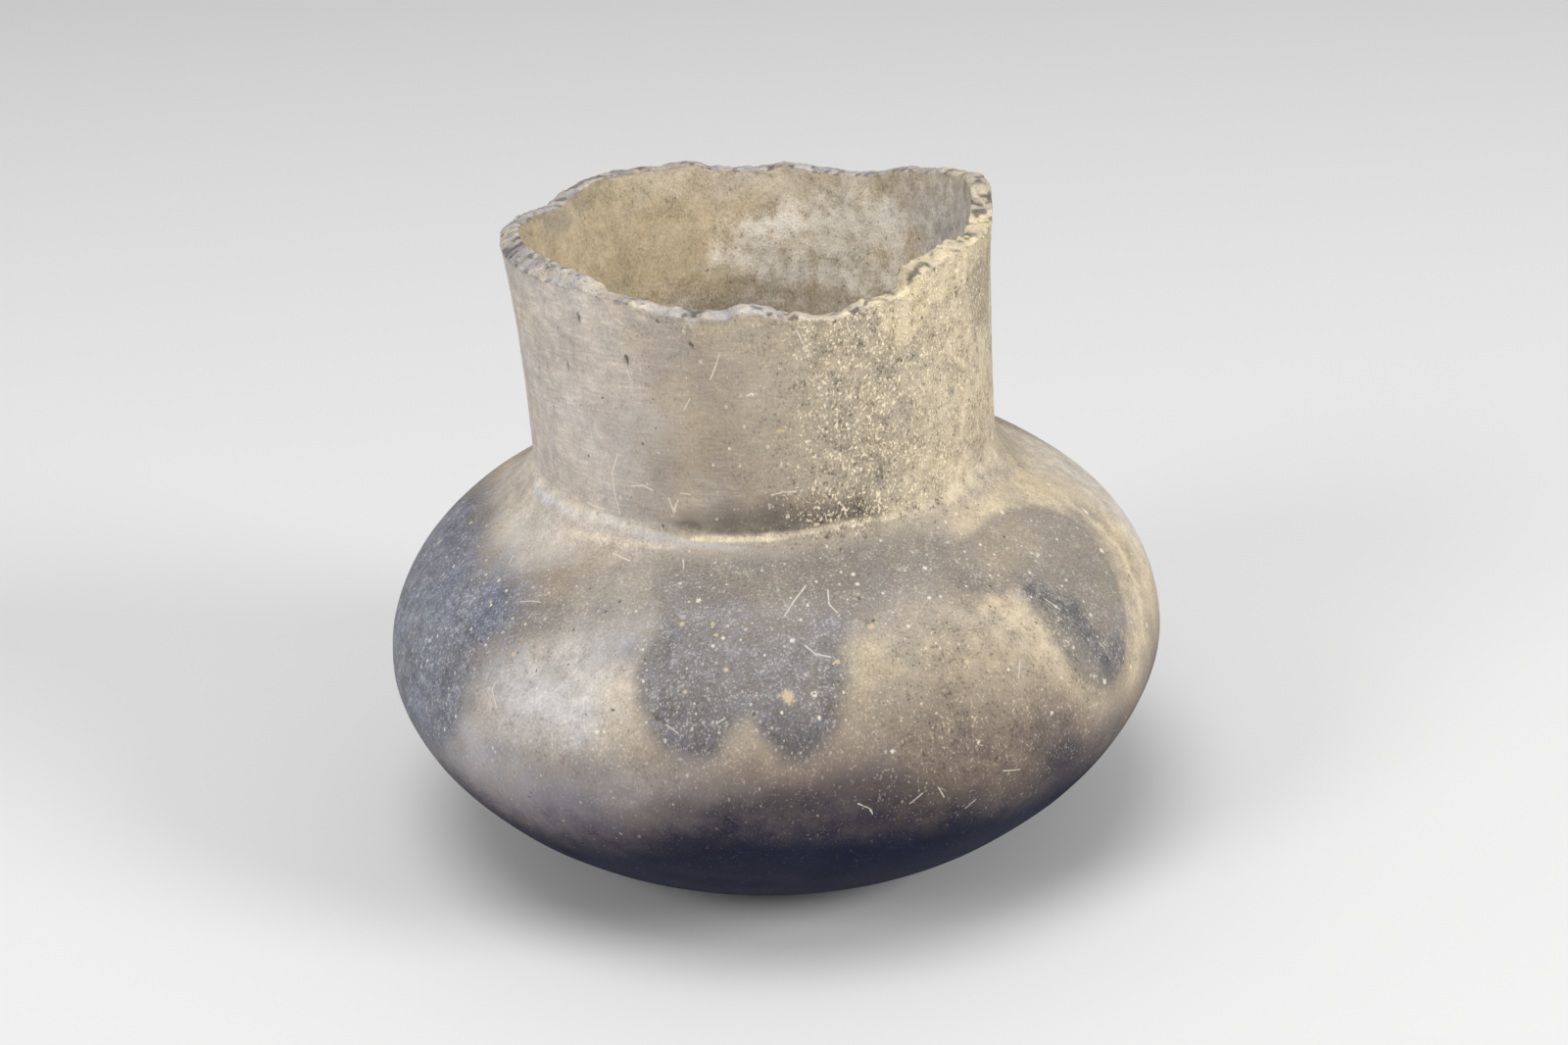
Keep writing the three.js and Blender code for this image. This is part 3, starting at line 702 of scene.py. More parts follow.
def bloom_and_sheen_mark():
    """Pale, chalky bloom: clay worn smooth and bleached between the clouds, along the joint on the left, on
    the lip and inside it at the back. Between the clouds on the front's left it is partly painted sheen,
    the burnished clay's broad highlight; low on the front's left it is painted sheen, and high inside the
    neck at the back it is painted light."""
    mark = Mark()
    # Partly painted sheen, the broad highlight on the burnished clay: this field and the next two spots
    pale_field = [(226, 103), (225, 112), (230, 119), (238, 126), (246, 130), (248.5, 120), (249, 106),
                  (244, 97), (235, 95), (228, 97)]
    mark.patch(BODY, 0.55, pale_field, 28, 9, 12, 191)
    mark.lay(BODY, 0.85 * BODY.spot(234, 107, 22, 13))
    mark.lay(BODY, 0.5 * BODY.spot(245, 123, 9, 7))
    left_top = [(192, 140), (200, 136), (214, 132), (222, 138), (226, 150), (200, 152)]
    mark.patch(BODY, 0.4, left_top, 9, 4, 8, 193)
    mark.lay(LIP, 0.6 * smooth_step(-0.5, 0.5, LIP.noise(4, 192)) * (1 - 0.5 * grain_patch(LIP)))
    # Painted light on the band high inside the neck at the back
    near_rim = smooth_step(-14, -3, ABOVE_INNER_RIM + 4 * INNER_NECK.noise(9, 195))
    mark.lay(INNER_NECK, 0.2 * near_rim * smooth_step(-60, -30, -np.abs(INNER_NECK.turn(88))))
    crook_left = [(200, 153.5), (216, 154), (232, 154.6), (246, 154.4), (256, 153.6), (264, 153.2)]
    worn = smooth_step(-0.6, 0.4, JOINT.streaks(13, 1.5, 202))
    mark.stroke(JOINT, 0.75 * worn, crook_left, 5, 5, 1.4, 5, 203)
    right_field = [(356, 92), (352, 112), (358, 138), (374, 144), (384, 120), (376, 96)]
    mark.patch(BODY, 0.35, right_field, 16, 6, 10, 197)
    # Painted sheen low on the front's left
    low_left = [(206, 98), (222, 96), (240, 92), (256, 88), (252, 76), (236, 68), (208, 70)]
    mark.patch(BODY, 0.34 + 0.3 * BODY.noise(12, 204), low_left, 18, 7, 10, 205)
    return mark


def rose_mark():
    """A mauve-pink cast in the clay: the left side of the neck, lip and shoulder, the right of the inside,
    low on the body's front and on its right side."""
    mark = Mark()
    mark.lay(NECK, 1 - smooth_step(26, 66, np.abs(NECK.turn(203)) + 8 * NECK.noise(14, 199)))
    mark.lay(LIP, 0.9 * smooth_step(-75, -45, -np.abs(LIP.turn(218))))
    right_inside = [(-30, 146), (-20, 165), (10, 166), (36, 160), (44, 150), (30, 140), (0, 134)]
    mark.patch(INNER_NECK, 0.85, right_inside, 18, 6, 9, 228)
    left_top = [(158, 165), (162, 140), (186, 138), (206, 140), (228, 146), (236, 165)]
    mark.patch(BODY, 0.8, left_top, 12, 4, 9, 211)
    low_front = [(214, 92), (224, 96), (240, 94), (252, 91), (266, 90), (282, 88), (276, 78), (250, 70),
                 (226, 66), (208, 72)]
    mark.patch(BODY, 0.6, low_front, 14, 6, 10, 223)
    right_side = [(350, 90), (356, 108), (366, 126), (384, 120), (400, 100), (380, 80)]
    mark.patch(BODY, 0.55, right_side, 18, 6, 12, 227)
    return mark


def umber_and_shade_mark():
    """Brown stain over the neck's front and back, and painted shade: nearly black in the crook at the
    neck's foot, on the neck just above it, low inside the neck, in the hollows of the break, in flecks just
    below it, and in the pits and nicks. The body is also made darker low on its front."""
    mark = Mark()
    # Painted shade, nearly black, in the crook at the neck's foot
    crook = [(238, 158.4), (250, 157.4), (262, 156.8), (274, 156.8), (286, 157.8), (298, 158.4)]
    for wall, shift in ((JOINT, 0), (NECK, NECK_SHIFT)):
        path = [(azimuth, along - shift) for azimuth, along in crook]
        tapered = smooth_step(-36, -16, wall.turn(272)) * smooth_step(-32, -20, -wall.turn(272))
        patchy = 0.95 + 0.25 * wall.noise(5, 230)
        mark.stroke(wall, patchy * tapered, path, 3.4, 4, 1.6, 3, 229)
    # Painted shade on the neck just above the crook
    over_crook = [(246, 103), (250, 110), (262, 113), (280, 114), (294, 111), (300, 103)]
    mark.patch(NECK, 0.86 + 0.2 * NECK.noise(5, 234), over_crook, 12, 3, 7, 233)
    browned = grain_patch(NECK) * smooth_step(-30, -12, -NECK.turn(312))
    browned = 0.14 * browned * smooth_step(-30, -6, -NECK.turn(290))
    mark.lay(NECK, browned * (1 + 0.8 * NECK.noise(6, 235)))
    under_crust = [(332, 138), (331, 158), (346, 162), (352, 150), (344, 138)]
    mark.patch(NECK, 0.4, under_crust, 8, 3, 6, 237)
    front = [(240, 103), (238, 124), (250, 158), (286, 158), (290, 130), (296, 103)]
    mark.patch(NECK, 0.27, front, 28, 7, 12, 239)
    behind = [(70, 106), (62, 124), (76, 140), (98, 146), (118, 132), (112, 108)]
    mark.patch(NECK, 0.35, behind, 26, 12, 14, 240)
    # Painted shade low inside the neck
    low_inside = [(40, 104), (44, 120), (52, 130), (66, 136), (84, 132), (100, 124), (120, 104)]
    mark.patch(INNER_NECK, 0.46, low_inside, 16, 6, 10, 241)
    # Painted shade in the hollows of the break
    mark.lay(LIP, 0.9 * smooth_step(0.12, 0.5, -LIP_CRUMBS - 0.5 * LIP_CHIPS))
    # Dark flecks just below the break, partly painted shade
    edge = smooth_step(-1.6, -0.2, ABOVE_RIM + 0.8 * NECK.noise(2.5, 243))
    mark.lay(NECK, 0.5 * edge * smooth_step(-0.1, 0.4, NECK.noise(2, 244)))
    # Darker low on the body's front
    low_front = [(252, 84), (262, 90), (280, 92), (292, 86), (298, 80), (296, 72), (276, 72), (256, 74)]
    mark.patch(BODY, 0.5 + 0.4 * BODY.noise(9, 247), low_front, 10, 6, 8, 248)
    # Painted shade in the pits and nicks
    for azimuth, along, radius, _ in PITS:
        mark.lay(BODY, 0.9 * BODY.spot(azimuth, along, radius))
    for azimuth, height, across, up in NICKS:
        mark.lay(NECK, NECK.spot(azimuth, height, across, up))
    return mark


# Smears of pale clay at the neck's foot: a path, its width, its softness and its strength
SMEARS = [
    ([(253, 154.6), (258, 154.5), (265, 154.4), (274, 154.7), (281, 154.9), (288, 155.6)], 1.5, 1.5, 0.95),
    ([(288, 155.4), (293, 155.2), (298, 154.6), (304, 154.4)], 1.6, 1.4, 0.9),
    ([(306, 155.6), (318, 156.4), (330, 155.4), (342, 154.4)], 6, 9, 0.5),
    ([(222, 147.9), (230, 148.9), (236, 149.7), (248, 151.3)], 1.3, 2.4, 0.45),
    ([(190, 156), (205, 156), (223, 156.2), (236, 155.8), (246, 155.4), (255, 154.8)], 2.2, 4.0, 0.42),
    ([(20, 155), (60, 154.6), (100, 154.6), (140, 155.2)], 2.2, 3.0, 0.5),
]


def cream_mark():
    """Pale clay, smeared where it was pressed in at the neck's foot."""
    mark = Mark()
    for number, (path, width, soft, strength) in enumerate(SMEARS):
        mark.stroke(JOINT, strength, path, width, soft, 0.6, 2.5 + soft, 251 + number)
    return mark


def grain_mark():
    """Granular, weathered clay: the neck's right side, the break, patches inside, a field on the body."""
    mark = Mark()
    mark.lay(NECK, grain_patch(NECK))
    mark.lay(LIP, 0.6 + 0.2 * LIP.noise(5, 281))
    near_rim = smooth_step(-16, -1, ABOVE_INNER_RIM)
    mark.lay(INNER_NECK, 0.12 + 0.35 * near_rim)
    scaly = [(38, 128), (40, 154), (100, 152), (100, 128)]
    mark.patch(INNER_NECK, 0.5, scaly, 10, 4, 8, 285)
    tan_field = [(285, 80), (284, 122), (300, 128), (315, 122), (322, 88), (310, 78)]
    mark.patch(BODY, 0.6, tan_field, 16, 6, 10, 283)
    return mark


def crust_mark():
    """The thin yellow crust on the right of the neck and in the break."""
    mark = Mark()
    mark.lay(NECK, (0.85 + 0.4 * NECK.noise(3, 286)) * crust_patch(NECK))
    mark.lay(LIP, smooth_step(0.2, 0.9, LIP.noise(5, 287) + crust_patch(LIP)))
    mark.patch(LIP, 0.6, [(229, 170), (231, 158), (241, 158), (242, 170)], 3, 1, 3, 293)
    return mark


def lime_mark():
    """Whitish scale that water left inside the neck, thickest at the back."""
    mark = Mark()
    field = [(34, 138), (38, 153), (60, 154), (82, 152), (99, 147), (101, 136), (84, 128), (60, 124),
             (44, 128)]
    blots = smooth_step(-0.5, 0.5, INNER_NECK.noise(3, 311, 4))
    mark.patch(INNER_NECK, 0.45 + 0.5 * blots, field, 12, 6, 8, 307)
    thickest = [(40, 147), (44, 153), (58, 152), (70, 148), (68, 141), (56, 140), (46, 139)]
    mark.patch(INNER_NECK, 0.95, thickest, 8, 3, 5, 313)
    right_inside = [(-34, 146), (-20, 165), (10, 166), (38, 160), (48, 150), (36, 136), (0, 130)]
    mark.patch(INNER_NECK, 0.35, right_inside, 18, 6, 9, 315)
    low_inside = [(60, 98), (64, 124), (84, 130), (120, 130), (150, 126), (156, 98)]
    mark.patch(INNER_NECK, 0.4, low_inside, 18, 6, 9, 319)
    return mark


def slate_and_reflection_mark():
    """Blue-grey: the left cloud, where it is partly a painted reflection of blue light; a cast in the front
    cloud; a painted reflection of blue light low on the left; a painted bluish sheen between the clouds on
    the front's left; and the clay's own blue-grey in spots in the break and patches inside the neck."""
    mark = Mark()
    # The left cloud's blue-grey, partly a painted reflection of blue light
    fading = smooth_step(140, 190, DEGREES)
    mark.patch(BODY, (0.66 + 0.3 * BODY.noise(16, 104)) * fading, LEFT_CLOUD, 22, 7, 12, 103)
    # A painted bluish sheen between the clouds
    mark.lay(BODY, 0.3 * BODY.spot(246, 122, 9, 8))
    mark.patch(BODY, 0.24, FRONT_CLOUD[1:-3], 10, 4, 8, 336)
    # A painted reflection of blue light low on the left
    low_left = [(205, 100), (222, 100), (246, 88), (240, 62), (205, 64)]
    mark.patch(BODY, 0.32, low_left, 20, 6, 12, 335)
    mark.lay(LIP, 0.4 * smooth_step(-0.4, 0.4, LIP.noise(4, 339)) * (1 - 0.6 * grain_patch(LIP)))
    near_rim = smooth_step(-11, -4, ABOVE_INNER_RIM)
    mark.lay(INNER_NECK, 0.45 * near_rim * smooth_step(0.15, 0.6, INNER_NECK.noise(8, 337)))
    right_inside = [(-25, 150), (-20, 163), (10, 164), (38, 158), (46, 150), (30, 142), (0, 140)]
    mark.patch(INNER_NECK, 0.42, right_inside, 20, 7, 9, 347)
    mark.patch(INNER_NECK, 0.35, [(18, 157), (21, 163), (30, 162), (30, 156)], 6, 3, 5, 349)
    mark.patch(INNER_NECK, 0.28, [(146, 157), (148, 162), (158, 163), (160, 158)], 5, 2, 5, 353)
    return mark


def inside_mark():
    """Olive-ochre clay: all of the inside, and thinly in patches outside."""
    mark = Mark()
    mark.lay(INNER_NECK, 1)
    mark.lay(INNER_BODY, 1)
    tan_field = [(284, 82), (284, 108), (294, 120), (310, 116), (312, 96), (304, 80)]
    mark.patch(BODY, 0.4, tan_field, 16, 6, 8, 236)
    mark.stroke(BODY, 0.5, HOOK_HALO[:9], 8, 12, 2, 7, 238)
    mark.lay(BODY, 0.5 * smooth_step(-0.2, 0.6, BODY.noise(18, 242)))
    mark.lay(NECK, 0.5 * (1 - grain_patch(NECK)) * smooth_step(-0.5, 0.5, NECK.noise(10, 246)))
    return mark


MARKS = {
    "Soot": soot_mark(), "Painted Shade": painted_shade_mark(), "Scorch And Shade": scorch_and_shade_mark(), "Buff": buff_mark(),
    "Bloom And Sheen": bloom_and_sheen_mark(), "Rose": rose_mark(), "Umber And Shade": umber_and_shade_mark(), "Cream": cream_mark(),
    "Grain": grain_mark(), "Crust": crust_mark(), "Lime": lime_mark(), "Slate And Reflection": slate_and_reflection_mark(),
    "Inside": inside_mark(),
}


# Small things placed in the clay's face. Spots are listed by tone, 0 for pale shell, 0.5 for yellow clay
# and 1 for a hole darkened with painted shade: azimuth, distance or height, and radius across (and up where
# it differs). A scratch is its half width and the places that it joins.
BODY_SPOTS = {
    0: [(348.8, 136.5, 0.6), (328, 142, 0.7), (347, 125.2, 0.85), (331.5, 135.5, 0.45),
        (323.3, 129.3, 0.75), (324.3, 128.1, 0.7), (319.2, 125.5, 0.55), (315.2, 137.8, 0.45),
        (339.2, 117.5, 0.7), (311.5, 129.5, 0.45), (325, 119, 0.45), (319, 115.2, 0.55),
        (324.8, 108.8, 0.65), (323.2, 118.5, 0.45), (318, 104.8, 0.55), (330, 91.2, 0.6), (320, 96, 0.6),
        (322.2, 93, 0.65), (310.2, 93.2, 0.6), (313.5, 100, 0.45), (298, 129.5, 0.5), (316.5, 147.8, 0.45),
        (339, 95.2, 0.65), (297.5, 93.2, 0.65), (305, 107, 0.4), (188, 131.8, 0.55), (198.8, 123.5, 0.5),
        (213.8, 128.8, 0.6), (217.5, 127.5, 0.4), (209.5, 128, 0.4), (223.2, 122, 0.4), (244.8, 101.5, 0.6),
        (245.9, 101.8, 0.4), (239.8, 102.5, 0.4), (228, 90, 0.4), (220.8, 113.5, 0.45),
        (211.8, 121.8, 0.45), (207.2, 106.5, 0.45), (256.8, 136.2, 0.6), (286.5, 140.8, 0.5),
        (284.3, 142, 0.4), (286.5, 137.8, 0.6), (292.2, 123.8, 0.55), (275.5, 111.5, 0.85),
        (275.8, 105.8, 0.6), (285.2, 96, 0.65), (273.2, 125, 0.75), (260.5, 124.2, 0.55), (262, 126.2, 0.5),
        (300.8, 137.5, 0.65), (252.2, 140.8, 0.5), (276.5, 134, 0.45), (60, 118, 0.9), (98, 127, 0.6),
        (122, 104, 0.8), (32, 112, 0.7)],
    0.5: [(185, 121, 1.0, 1.4), (219.5, 147, 0.7), (227.2, 114.2, 0.7), (219.5, 125, 0.45),
          (216, 123.2, 0.5), (257, 112.8, 0.55), (262.8, 118.2, 0.6), (260.8, 127, 0.45),
          (254.7, 129.5, 0.6), (260, 130, 0.6), (279.5, 118.5, 0.65), (286.2, 126, 0.95),
          (271.8, 111.5, 1.6, 1.8), (306.8, 122.8, 0.65), (299, 111.8, 0.65), (75, 108, 1.6),
          (140, 126, 0.8)],
    1: [(253.3, 106.4, 0.85), (227.9, 114.9, 0.4), (246.8, 107, 0.4), (242.8, 105, 0.35),
        (237.8, 115.5, 0.3), (250, 119.8, 0.3), (240.3, 130.2, 0.35), (286.9, 127.2, 0.5),
        (275.5, 111.6, 0.35), (293.8, 97.5, 0.5), (294, 95.2, 0.5), (296.5, 94.8, 0.55), (310, 127.2, 0.4),
        (234, 82, 0.4), (262, 84, 0.35), (52, 101, 0.5)],
}
NECK_SPOTS = {
    0: [(328.8, 128, 0.7), (313, 125.6, 0.6), (269, 139.2, 1.7, 0.6), (263, 126, 0.4), (20, 128, 0.6),
        (150, 132, 0.5)],
    0.5: [(327.8, 141.6, 0.9), (275, 129.6, 1.2, 0.5), (282, 137.4, 0.5), (283.8, 135.6, 0.6),
          (281.8, 140.2, 0.5), (308.5, 113.8, 0.7), (312.2, 111.8, 0.75)],
    1: [(228.8, 156.6, 0.5, 1.3), (240.8, 147.6, 0.45, 1.5), (222.2, 142.6, 0.3, 1.4),
        (257, 151.6, 0.35, 0.6), (305.2, 140.6, 0.45), (288.5, 153.8, 0.6, 0.9), (265.5, 148, 0.3),
        (246.2, 146.2, 0.25), (246.2, 138.2, 0.3), (311.5, 149.4, 0.45), (246, 130.6, 0.25),
        (224.8, 133.2, 0.3), (225.5, 120.4, 0.25, 0.4), (217, 122.6, 0.25), (215.8, 147.4, 0.25),
        (220.8, 152.4, 0.25), (232.2, 136.8, 0.35), (208, 139, 0.3, 0.5), (213, 130, 0.3),
        (40, 132, 0.5, 1.2), (120, 147, 0.4, 1.3)],
}
BODY_SCRATCHES = [
    (0.22, (277, 139.8), (274.2, 135.5), (272.2, 131.5)),
    (0.19, (280.8, 137.8), (280.3, 133.5), (281.4, 130.8)),
    (0.22, (275, 123.5), (276.5, 121), (278.7, 119.8)), (0.19, (251.2, 148), (252, 145)),
    (0.17, (254.7, 105), (256.5, 103.2)), (0.17, (263, 107), (261.5, 105.5)),
    (0.19, (235, 146), (239.5, 145.2)), (0.17, (211.3, 135.8), (212.5, 133.5)),
    (0.17, (226, 107), (225.7, 104.5), (227.5, 100.8)),
    (0.17, (222.2, 126.5), (224.5, 127.8), (226.5, 128.3)), (0.17, (280, 84.5), (281.6, 82.6), (282, 80.5)),
    (0.17, (295.5, 76), (297, 78)), (0.17, (287, 82), (289, 84.5)), (0.17, (291, 85), (292, 81.5)),
    (0.17, (301, 84), (304, 82.5)), (0.17, (306, 104), (307.5, 108)), (0.17, (318, 118), (319.5, 114)),
    (0.17, (150, 120), (154, 117)), (0.19, (62, 118), (66, 121)), (0.17, (98, 96), (101, 93)),
]
NECK_SCRATCHES = [
    (0.19, (262.8, 149.8), (262, 147.4), (260.2, 143.4)), (0.17, (255, 138.6), (253.3, 135.6)),
    (0.22, (280, 153.6), (281.2, 150.4), (282.8, 146.8)),
    (0.28, (271.8, 113.9), (274, 114.3), (277.2, 114.2)),
    (0.28, (238, 115), (241.2, 115.6), (243.5, 114.6)), (0.3, (223.5, 107.6), (226, 107.1), (229, 107.3)),
    (0.17, (228.5, 128.8), (230.5, 125.8)),
    (0.22, (234.8, 122.8), (232.5, 117.2), (232.8, 111.6), (233.8, 107)),
    (0.25, (247.5, 113), (248.5, 109.8), (249.8, 112.8)), (0.22, (250.5, 114.6), (253, 114.4)),
    (0.19, (240.5, 145), (241, 142.2)), (0.22, (239.5, 157.8), (241.2, 156.4)),
    (0.19, (329.2, 132.6), (329, 129.4)), (0.17, (60, 128), (63, 133)), (0.17, (140, 120), (146, 121)),
    (0.17, (12, 140), (14, 134)),
]


class Details:
    """The placed things, drawn sharper than the grid's spacing: each point near one holds the way from its
    middle in units of its size, which the faces between fill in evenly, and its tone. Further out the way
    is made long. Things that lie close together go into different layers."""

    # How far round a thing it is drawn, and the room that it needs beyond that, in millimetres
    NEAR = 1.9
    CLEAR = 1.5

    # The third part of the way: next to nothing where a thing is near, and long elsewhere
    HERE = 1e-9
    FAR = 12

    def __init__(self):
        self.layers = []

    def lay(self, wall, first, second, distance, tone):
        """Puts a thing in the first layer with room for it. first and second are the two parts of the way
        from its middle, and distance is how far it is from each point."""
        claimed = distance < self.NEAR + self.CLEAR
        for layer in self.layers:
            if not layer[wall.rows][claimed][:, 2].any():
                break
        else:
            layer = np.zeros((*RADIUS.shape, 4))
            self.layers.append(layer)
        near = distance < self.NEAR
        count = int(near.sum())
        way = [first[near], second[near], np.full(count, self.HERE), np.full(count, tone)]
        layer[wall.rows][near] = np.stack(way, -1)

    def spots(self, wall, spots):
        """A spot's way is the distance across and up from its middle, each over its radius."""
        for tone, places in spots.items():
            for azimuth, along, across, *up in places:
                x = wall.turn(azimuth) * wall.per_degree
                y = wall.along - along
                high = up[0] if up else across
                self.lay(wall, x / across, y / high, np.hypot(x, y) - max(across, high), tone)

    def scratches(self, wall, scratches):
        """A scratch's way is the distance beside it and that beyond its ends, over its half width."""
        for width, *path in scratches:
            best = np.full(wall.shape, np.inf)
            side = np.zeros(wall.shape)
            beyond = np.zeros(wall.shape)
            for (start, low), (end, high) in zip(path, path[1:]):
                step_x = (end - start) * wall.per_degree
                length = np.hypot(step_x, high - low)
                x = wall.turn(start) * wall.per_degree
                y = wall.along - low
                forward = (x * step_x + y * (high - low)) / length
                over = forward - np.clip(forward, 0, length)
                across = (y * step_x - x * (high - low)) / length
                distance = np.hypot(across, over)
                closer = distance < best
                best = np.where(closer, distance, best)
                side = np.where(closer, across, side)
                beyond = np.where(closer, over, beyond)
            self.lay(wall, side / width, beyond / width, best, -1)

    def finished(self):
        """The layers, with the third part of the way made long wherever nothing is near."""
        for layer in self.layers:
            layer[..., 2] = np.where(layer[..., 2] > 0, 0, self.FAR)
        return self.layers


details = Details()
details.spots(BODY, BODY_SPOTS)
details.scratches(BODY, BODY_SCRATCHES)
details.spots(NECK, NECK_SPOTS)
details.scratches(NECK, NECK_SCRATCHES)
DETAILS = {"Detail %d" % (number + 1): layer for number, layer in enumerate(details.finished())}


class Section:
    """The rows of points that go round one piece of clay, with what the skin knows about each of them."""

    def __init__(self):
        self.points = []
        self.normals = []
        self.rows = []

    def skin(self, first, last):
        """Takes rows of the skin, with their normals and marks."""
        self.points.extend(SKIN[first:last + 1])
        self.normals.extend(NORMALS[first:last + 1])
        self.rows.extend(range(first, last + 1))
        return self

    def hidden(self, rows):
        """Takes rows that lie against a neighbour. The marks of the foot's middle stand in for theirs."""
        self.points.extend(rows)
        self.normals.extend(np.zeros_like(row) for row in rows)
        self.rows.extend([0] * len(rows))
        return self


def shoulder_rows(start, end):
    """Rows along the body's outline, a little way into the clay, without the first."""
    distances = spread_between(start, end, HIDDEN_ROW)
    return [place(*wall_point(distance, JOINT_DEPTH), AZIMUTH) for distance in distances]


def neck_rows(start, end):
    """Rows up or down the neck's outside, a little way into the clay, without the first."""
    heights = spread_between(start, end, HIDDEN_ROW)
    return [place(neck_radius(height) - JOINT_DEPTH, height, AZIMUTH) for height in heights]


def ring_faces(row_count, closed):
    """Four corners of each face of a ring: this column and the next one, this row and the one above it."""
    row = np.arange(row_count if closed else row_count - 1)[:, None]
    column = np.arange(COLUMNS)[None, :]
    up = (row + 1) % row_count
    beside = (column + 1) % COLUMNS
    low = row * COLUMNS
    high = up * COLUMNS
    corners = [low + column, low + beside, high + beside, high + column]
    return np.stack(np.broadcast_arrays(*corners), -1).reshape(-1, 4)


def build_piece(name, section, closed=True):
    """A mesh from a section's rows. A closed section joins its last row to its first one. The base disc's
    open one runs from the middle of the foot to the middle of the floor, and a fan of faces fills each of
    these ends."""
    row_count = len(section.rows)
    vertices = np.concatenate(section.points)
    normals = np.concatenate(section.normals)
    quads = ring_faces(row_count, closed)
    corners = quads.ravel()
    sizes = np.full(len(quads), 4)
    if not closed:
        ring = np.arange(COLUMNS)
        beside = (ring + 1) % COLUMNS
        last = (row_count - 1) * COLUMNS
        middles = [vertices[:COLUMNS].mean(axis=0), vertices[-COLUMNS:].mean(axis=0)]
        low_fan = np.stack([beside, ring, np.full(COLUMNS, len(vertices))], -1)
        high_fan = np.stack([last + ring, last + beside, np.full(COLUMNS, len(vertices) + 1)], -1)
        vertices = np.concatenate([vertices, middles])
        normals = np.concatenate([normals, [(0, 0, -1), (0, 0, 1)]])
        corners = np.concatenate([corners, low_fan.ravel(), high_fan.ravel()])
        sizes = np.concatenate([sizes, np.full(2 * COLUMNS, 3)])
    mesh = bpy.data.meshes.new(name)
    mesh.vertices.add(len(vertices))
    mesh.vertices.foreach_set("co", vertices.astype(np.float32).ravel())
    mesh.loops.add(len(corners))
    mesh.loops.foreach_set("vertex_index", corners.astype(np.int32))
    mesh.polygons.add(len(sizes))
    mesh.polygons.foreach_set("loop_start", np.concatenate([[0], np.cumsum(sizes)[:-1]]).astype(np.int32))
    mesh.polygons.foreach_set("use_smooth", np.ones(len(sizes), dtype=bool))
    mesh.update(calc_edges=True)
    mesh.normals_split_custom_set_from_vertices(normals)
    lay_map(mesh, section, quads, len(corners))
    for mark_name, mark in MARKS.items():
        held = np.zeros(len(vertices), dtype=np.float32)
        held[:row_count * COLUMNS] = np.clip(mark.strength[section.rows], 0, 1).ravel()
        mesh.attributes.new(mark_name, "FLOAT", "POINT").data.foreach_set("value", held)
    for detail_name, layer in DETAILS.items():
        held = np.zeros((len(vertices), 4), dtype=np.float32)
        held[:row_count * COLUMNS] = layer[section.rows].reshape(-1, 4)
        mesh.attributes.new(detail_name, "FLOAT_COLOR", "POINT").data.foreach_set("color", held.ravel())
    piece = bpy.data.objects.new(name, mesh)
    bpy.context.scene.collection.objects.link(piece)
    return piece


# The bare edge round each sector of a piece's map, as a share of the map's width
MAP_GUTTER = 0.006


def lay_map(mesh, section, quads, corner_count):
    """The map "OFBake" spreads the ring over the whole square, for textures: it is cut into equal sectors
    laid one above the other, so that a texel is about as wide as it is high."""
    ring = np.stack(section.points)
    steps = np.linalg.norm(np.diff(ring, axis=0, append=ring[:1]), axis=-1).mean(axis=1)
    climbed = np.concatenate([[0], np.cumsum(steps)])
    girth = np.linalg.norm(np.diff(ring.mean(axis=0), axis=0), axis=-1).sum()
    sectors = 2 ** max(0, round(math.log2(math.sqrt(girth / climbed[-1]))))

    row = quads[:, 0] // COLUMNS
    column = quads[:, 0] % COLUMNS
    corner_column = np.stack([column, column + 1, column + 1, column], -1)
    sector = (column * sectors // COLUMNS)[:, None]
    across = corner_column * sectors / COLUMNS - sector
    share = np.stack([climbed[row], climbed[row], climbed[row + 1], climbed[row + 1]], -1) / climbed[-1]
    inset_across = MAP_GUTTER + (1 - 2 * MAP_GUTTER) * across
    inset_share = MAP_GUTTER * sectors + (1 - 2 * MAP_GUTTER * sectors) * share
    spread = np.stack([inset_across, (sector + inset_share) / sectors], -1)

    filled = np.zeros((corner_count, 2), dtype=np.float32)
    filled[:4 * len(quads)] = spread.reshape(-1, 2)
    mesh.uv_layers.new(name="OFBake").uv.foreach_set("vector", filled.ravel())


def make_pieces():
    """The twelve pieces of clay by the name of the plain solid that each one replaces."""
    spans = ROWS.stretches
    seat = NECK_SEAT_HEIGHT
    rings = [*BODY_COILS, *NECK_COILS, "neck_luting_strip"]
    sections = {name: Section().skin(*spans[name]) for name in rings}
    sections["shoulder_coil_3"].hidden(shoulder_rows(STRIP_LOW, OUTLINE_LENGTH)[:-1])
    sections["rim_coil"].skin(spans["lip"][0] + 1, spans["lip"][1] - 1)
    for name in [*BODY_COILS, *NECK_COILS]:
        sections[name].skin(*spans[name + " inside"])
    foot_coil = sections["neck_coil_1"]
    foot_coil.hidden(shoulder_rows(OUTLINE_LENGTH, SEAT_ALONG))
    foot_coil.hidden(neck_rows(seat, STRIP_TOP)[:-1])
    strip = sections["neck_luting_strip"]
    strip.hidden(neck_rows(STRIP_TOP, seat))
    strip.hidden(shoulder_rows(SEAT_ALONG, STRIP_LOW)[:-1])
    pieces = {name: build_piece(name + "_clay", section) for name, section in sections.items()}
    disc = Section().skin(0, spans["base_disc"][1]).skin(spans["base_disc inside"][0], len(SKIN) - 1)
    pieces["base_disc"] = build_piece("base_disc_clay", disc, closed=False)
    return pieces


